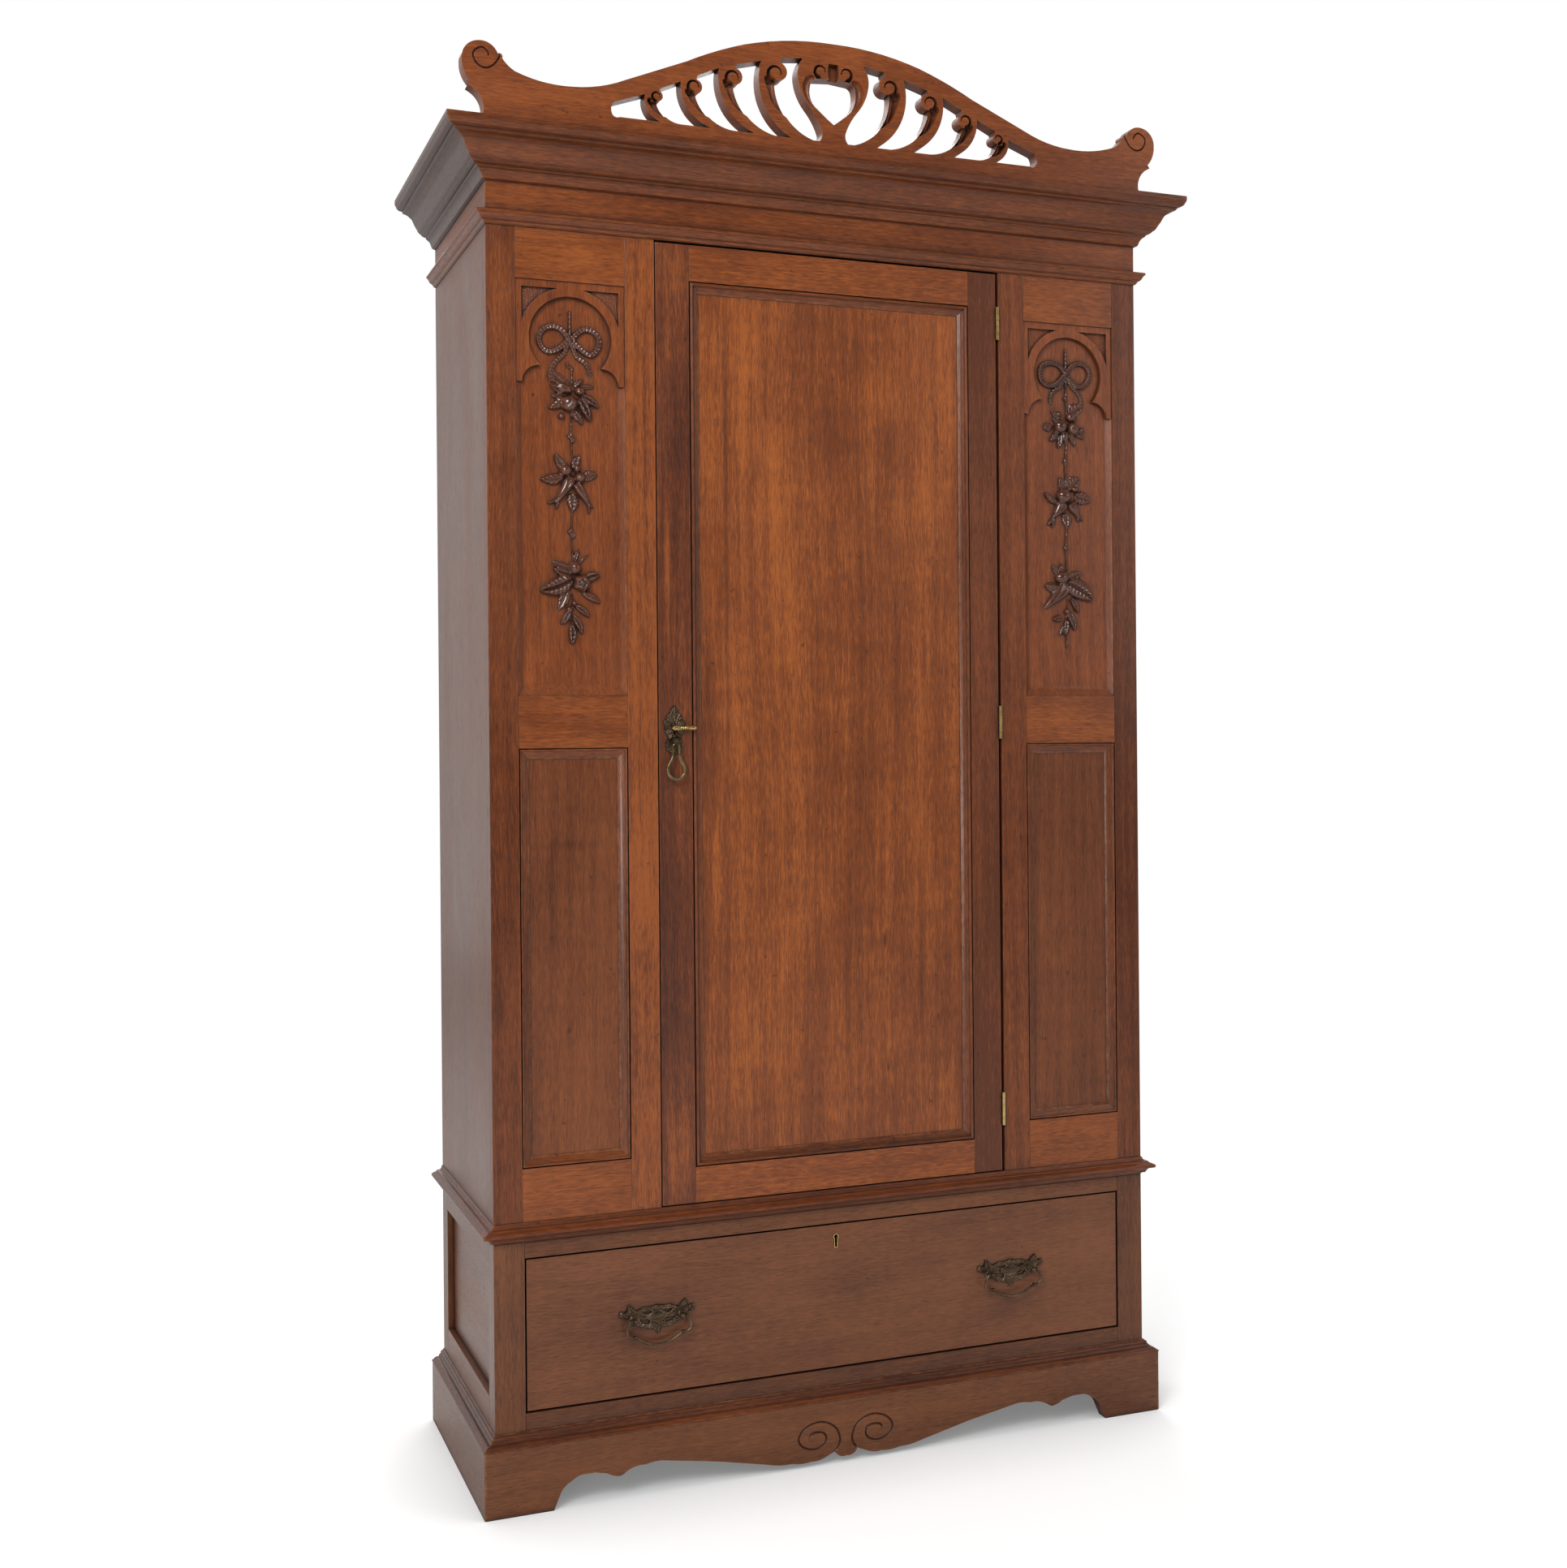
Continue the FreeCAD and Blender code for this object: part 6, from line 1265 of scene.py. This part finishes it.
def pullMeshes():
    px, py, pz = dropPull["pin"]
    half = smoothLine([(*spot, size) for spot, size in zip(dropPull["line"], dropPull["radii"])], 5)
    whole = [(-x, z, r) for x, z, r in half[-2:0:-1]] + half
    loop = swellingRod([(px + x, py, pz + z) for x, z, r in whole], [r for x, z, r in whole])
    meshes = packedMeshes("drop_pull") + [loop]
    for x, z, size, (leanX, leanZ) in dropPull["beads"]:
        for side in (-1, 1):
            spot = (px + side * x, py, pz + z)
            rows = beadRows(size, *dropPull["beadForm"])
            meshes.append(turnedShape(rows, spot, (side * leanX, 0, leanZ), dropPull["sides"]))
    return meshes


dress(makePiece("drop_pull_loop", pullMeshes(), ["drop_pull"]), "worn_brass")

# The bails: swan necks out from the posts, collars, and a grip that is fuller in the middle.
bail = {
    "centres": {"bail_left": -290.0, "bail_right": 290.0}, "y": -191.8, "z": 253.0,
    "line": [(42.0, 0), (45.6, -4.6), (48.2, -10.4), (48.4, -16.5), (45.6, -21.6), (40.6, -24.0), (36.5, -23.9),
             (30, -27.4), (21, -32.6), (10.5, -36.6), (0, -37.8)],
    "radii": [1.9, 1.8, 1.7, 1.8, 1.9, 1.8, 1.8, 1.9, 2.1, 2.2, 2.25],
    "collars": [(35.2, -24.6, 2.9), (38.4, -24.1, 2.7)], "collarForm": (0.8, 0.45, 0.75), "lean": 0.35,
    "sides": 20,
}


def bailMeshes(nodeName):
    cx = bail["centres"][nodeName]
    half = smoothLine([(*spot, size) for spot, size in zip(bail["line"], bail["radii"])], 5)
    whole = half + [(-x, z, r) for x, z, r in half[-2::-1]]
    meshes = packedMeshes(nodeName)
    meshes.append(swellingRod([(cx + x, bail["y"], bail["z"] + z) for x, z, r in whole], [r for x, z, r in whole]))
    for x, z, size in bail["collars"]:
        for side in (-1, 1):
            spot = (cx + side * x, bail["y"], bail["z"] + z)
            rows = beadRows(size, *bail["collarForm"])
            meshes.append(turnedShape(rows, spot, (1, 0, side * bail["lean"]), bail["sides"]))
    return meshes


for nodeName in bail["centres"]:
    makePiece(f"{nodeName}_rod", bailMeshes(nodeName), [nodeName])

# The posts: a turned foot and neck under each ball.
postShape = {
    "places": [-326.5, -253.5, 253.5, 326.5], "face": -180.8, "z": 253.0,
    "foot": [(-0.2, 5.6), (0.8, 5.6), (1.4, 4.6), (2.0, 4.4), (2.6, 3.2), (4.2, 2.9), (5.6, 3.3), (6.4, 3.9),
             (7.2, 3.3)],
    "sides": 22,
}
postMeshes = packedMeshes("handle_posts")
for x in postShape["places"]:
    start = (x, postShape["face"], postShape["z"])
    postMeshes.append(turnedShape(postShape["foot"], start, (0, -1, 0), postShape["sides"]))
makePiece("handle_posts_turned", postMeshes, ["handle_posts"])
print("key, pull and bails made")

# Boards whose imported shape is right: they keep it and get eased edges and their own grain.
boards = {
    "plinth_sides": 0.0009, "plinth_back": 0.0009, "plinth_blocks": 0.0009,
    "plinth_mould": 0.0005, "base_posts": 0.0008, "base_side_rails": 0.0008, "base_side_panels": 0.0006,
    "base_rails": 0.0012, "base_boards": 0.0009, "base_back": 0.0006, "drawer_runners": 0.0008,
    "waist_frame": 0.0005, "case_sides": 0.0009, "case_boards": 0.0009, "back_boards": 0.001,
    "corner_stiles": 0.0007, "inner_stile_left": 0.0007, "inner_stile_right": 0.0007, "wing_rails": 0.0004,
    "lower_panels": 0.0005, "lower_slips": 0.0013,
    "frieze": 0.0006, "necking_mould": 0.0005,
    "cornice_mould": 0.0007, "cornice_top": 0.0009, "crest_blocks": 0.0009,
    "door_lock_stile": 0.0007, "door_hinge_stile": 0.0007, "door_rails": 0.0004, "door_panel": 0.0005,
    "door_mould": 0.0013, "drawer_front": 0.0024, "drawer_sides": 0.0008, "drawer_back": 0.0008,
    "drawer_bottom": 0.0006,
}
for nodeName, ease in boards.items():
    boardPiece(nodeName, ease)
print("boards eased:", len(boards))

remade = ("lock_plate", "handle_plates", "handle_posts", "key", "drop_pull", "bail_left", "bail_right")
for nodeName, slotName in slotOfNode.items():
    if slotName in metalLooks and nodeName not in remade:
        for slot in nodes[nodeName].material_slots:
            slot.material = finishes[slotName]
nodes["hanging_rail"].material_slots[0].material = finishes["rail_brass"]
print("metal dressed")


# The camera stands where the photograph was taken from, worked out from the edges of the case.
photo = {
    "place": (-1.0549, -2.9198, 1.1099), "yaw": 22.954864, "roll": -0.471989,
    "focalPixels": 2354.58, "centre": (1107.955, 904.131), "frame": (1931, 1932), "sensor": 36.0,
}


def buildCamera():
    yaw = math.radians(photo["yaw"])
    roll = math.radians(photo["roll"])
    forward = Vector((math.sin(yaw), math.cos(yaw), 0))
    right = Vector((math.cos(yaw), -math.sin(yaw), 0))
    up = Vector((0, 0, 1))
    across = math.cos(roll) * right + math.sin(roll) * up
    above = -math.sin(roll) * right + math.cos(roll) * up
    wide, high = photo["frame"]
    longSide = max(wide, high)
    data = bpy.data.cameras.new("photo_camera")
    data.sensor_width = photo["sensor"]
    data.lens = photo["focalPixels"] * photo["sensor"] / longSide
    data.shift_x = (wide / 2 - photo["centre"][0]) / longSide
    data.shift_y = (photo["centre"][1] - high / 2) / longSide
    camera = bpy.data.objects.new("photo_camera", data)
    turn = Matrix((across, above, -forward)).transposed()
    camera.matrix_world = Matrix.Translation(photo["place"]) @ turn.to_4x4()
    scene.collection.objects.link(camera)
    scene.camera = camera


# A plain white sweep: the floor holds the lamps' shadow and a painted shadow close round the case, and runs out into
# the white background.
stage = {
    "floorSize": 14.0, "floorHeight": -0.0002, "floorWhite": 0.86, "lift": 0.42, "fadeFrom": 1.5, "fadeTo": 2.6,
    "paintedShadowReach": 0.3, "open": 0.9, "shade": 0.42,
    "worldLight": 0.42, "roomShare": 0.1, "sweepShare": 0.68, "roomEnds": -0.55, "sweepStarts": 0.1,
}


def buildFloor():
    bm = bmesh.new()
    bmesh.ops.create_grid(bm, x_segments=8, y_segments=8, size=stage["floorSize"] / 2)
    mesh = finished(bm, "studio_floor")
    floor = bpy.data.objects.new("studio_floor", mesh)
    floor.location.z = stage["floorHeight"]
    scene.collection.objects.link(floor)
    material = bpy.data.materials.new("studio_floor")
    material.use_nodes = True
    tree = material.node_tree
    tree.nodes.clear()
    white = addNode(tree, "ShaderNodeBsdfDiffuse")
    # Painted shadow: ambient occlusion darkens the floor's colour and its glow near the case.
    under = addNode(tree, "ShaderNodeAmbientOcclusion", samples=8)
    under.inputs["Distance"].default_value = stage["paintedShadowReach"]
    clear = spread(tree, under.outputs["AO"], 0.0, stage["open"], stage["shade"], 1.0)
    feed(tree, white.inputs["Color"], mixColour(tree, clear, opaque((0, 0, 0)), opaque((stage["floorWhite"],) * 3)))
    glow = addNode(tree, "ShaderNodeEmission")
    path = addNode(tree, "ShaderNodeLightPath")
    lift = mathNode(tree, "MULTIPLY", clear, stage["lift"])
    feed(tree, glow.inputs["Strength"], mathNode(tree, "MULTIPLY", path.outputs["Is Camera Ray"], lift))
    lit = addNode(tree, "ShaderNodeAddShader")
    tree.links.new(white.outputs[0], lit.inputs[0])
    tree.links.new(glow.outputs[0], lit.inputs[1])
    far = addNode(tree, "ShaderNodeEmission")
    where = addNode(tree, "ShaderNodeTexCoord").outputs["Object"]
    length = addNode(tree, "ShaderNodeVectorMath", operation="LENGTH")
    feed(tree, length.inputs[0], where)
    fade = spread(tree, length.outputs["Value"], stage["fadeFrom"], stage["fadeTo"])
    mixed = addNode(tree, "ShaderNodeMixShader")
    feed(tree, mixed.inputs[0], mathNode(tree, "MULTIPLY", fade, path.outputs["Is Camera Ray"]))
    tree.links.new(lit.outputs[0], mixed.inputs[1])
    tree.links.new(far.outputs[0], mixed.inputs[2])
    output = addNode(tree, "ShaderNodeOutputMaterial")
    tree.links.new(mixed.outputs[0], output.inputs["Surface"])
    mesh.materials.append(material)


# White all round to the eye. In the polish the room in front shows darker than the white sweep behind.
def buildWorld():
    world = bpy.data.worlds.new("studio")
    world.use_nodes = True
    scene.world = world
    tree = world.node_tree
    tree.nodes.clear()
    where = addNode(tree, "ShaderNodeTexCoord").outputs["Generated"]
    parts = addNode(tree, "ShaderNodeSeparateXYZ")
    feed(tree, parts.inputs[0], where)
    room = spread(tree, parts.outputs["Y"], stage["roomEnds"], stage["sweepStarts"],
                  stage["roomShare"], stage["sweepShare"])
    path = addNode(tree, "ShaderNodeLightPath")
    plain = addNode(tree, "ShaderNodeMix", data_type="FLOAT")
    feed(tree, plain.inputs[0], path.outputs["Is Glossy Ray"])
    plain.inputs[2].default_value = stage["worldLight"]
    feed(tree, plain.inputs[3], room)
    seen = mathNode(tree, "MAXIMUM", path.outputs["Is Camera Ray"], path.outputs["Is Transmission Ray"])
    strength = addNode(tree, "ShaderNodeMix", data_type="FLOAT")
    feed(tree, strength.inputs[0], seen)
    feed(tree, strength.inputs[2], plain.outputs[0])
    strength.inputs[3].default_value = 1.0
    back = addNode(tree, "ShaderNodeBackground")
    back.inputs["Color"].default_value = opaque((1.0, 1.0, 1.0))
    feed(tree, back.inputs["Strength"], strength.outputs[0])
    output = addNode(tree, "ShaderNodeOutputWorld")
    tree.links.new(back.outputs[0], output.inputs["Surface"])


lamps = {
    "key": {"place": (-2.5, -3.2, 3.5), "aim": (0, -0.1, 1.6), "size": (1.7, 1.7), "watts": 118},
    "glint": {"place": (-1.9, -2.7, 0.85), "aim": (-0.1, -0.2, 1.5), "size": (0.2, 0.2), "watts": 11},
    "fill": {"place": (2.9, -3.0, 2.2), "aim": (0, 0, 1.0), "size": (1.6, 2.2), "watts": 17},
    "back": {"place": (0.6, 3.4, 3.0), "aim": (0, 0, 1.2), "size": (2.4, 1.6), "watts": 70},
}


def buildLamps():
    for name, lamp in lamps.items():
        data = bpy.data.lights.new(f"{name}_softbox", "AREA")
        data.shape = "RECTANGLE"
        data.size, data.size_y = lamp["size"]
        data.energy = lamp["watts"]
        light = bpy.data.objects.new(f"{name}_softbox", data)
        light.location = lamp["place"]
        direction = Vector(lamp["aim"]) - Vector(lamp["place"])
        light.rotation_euler = direction.to_track_quat("-Z", "Y").to_euler()
        scene.collection.objects.link(light)


buildCamera()
buildFloor()
buildWorld()
buildLamps()
scene.view_settings.view_transform = "Standard"
print("studio ready")
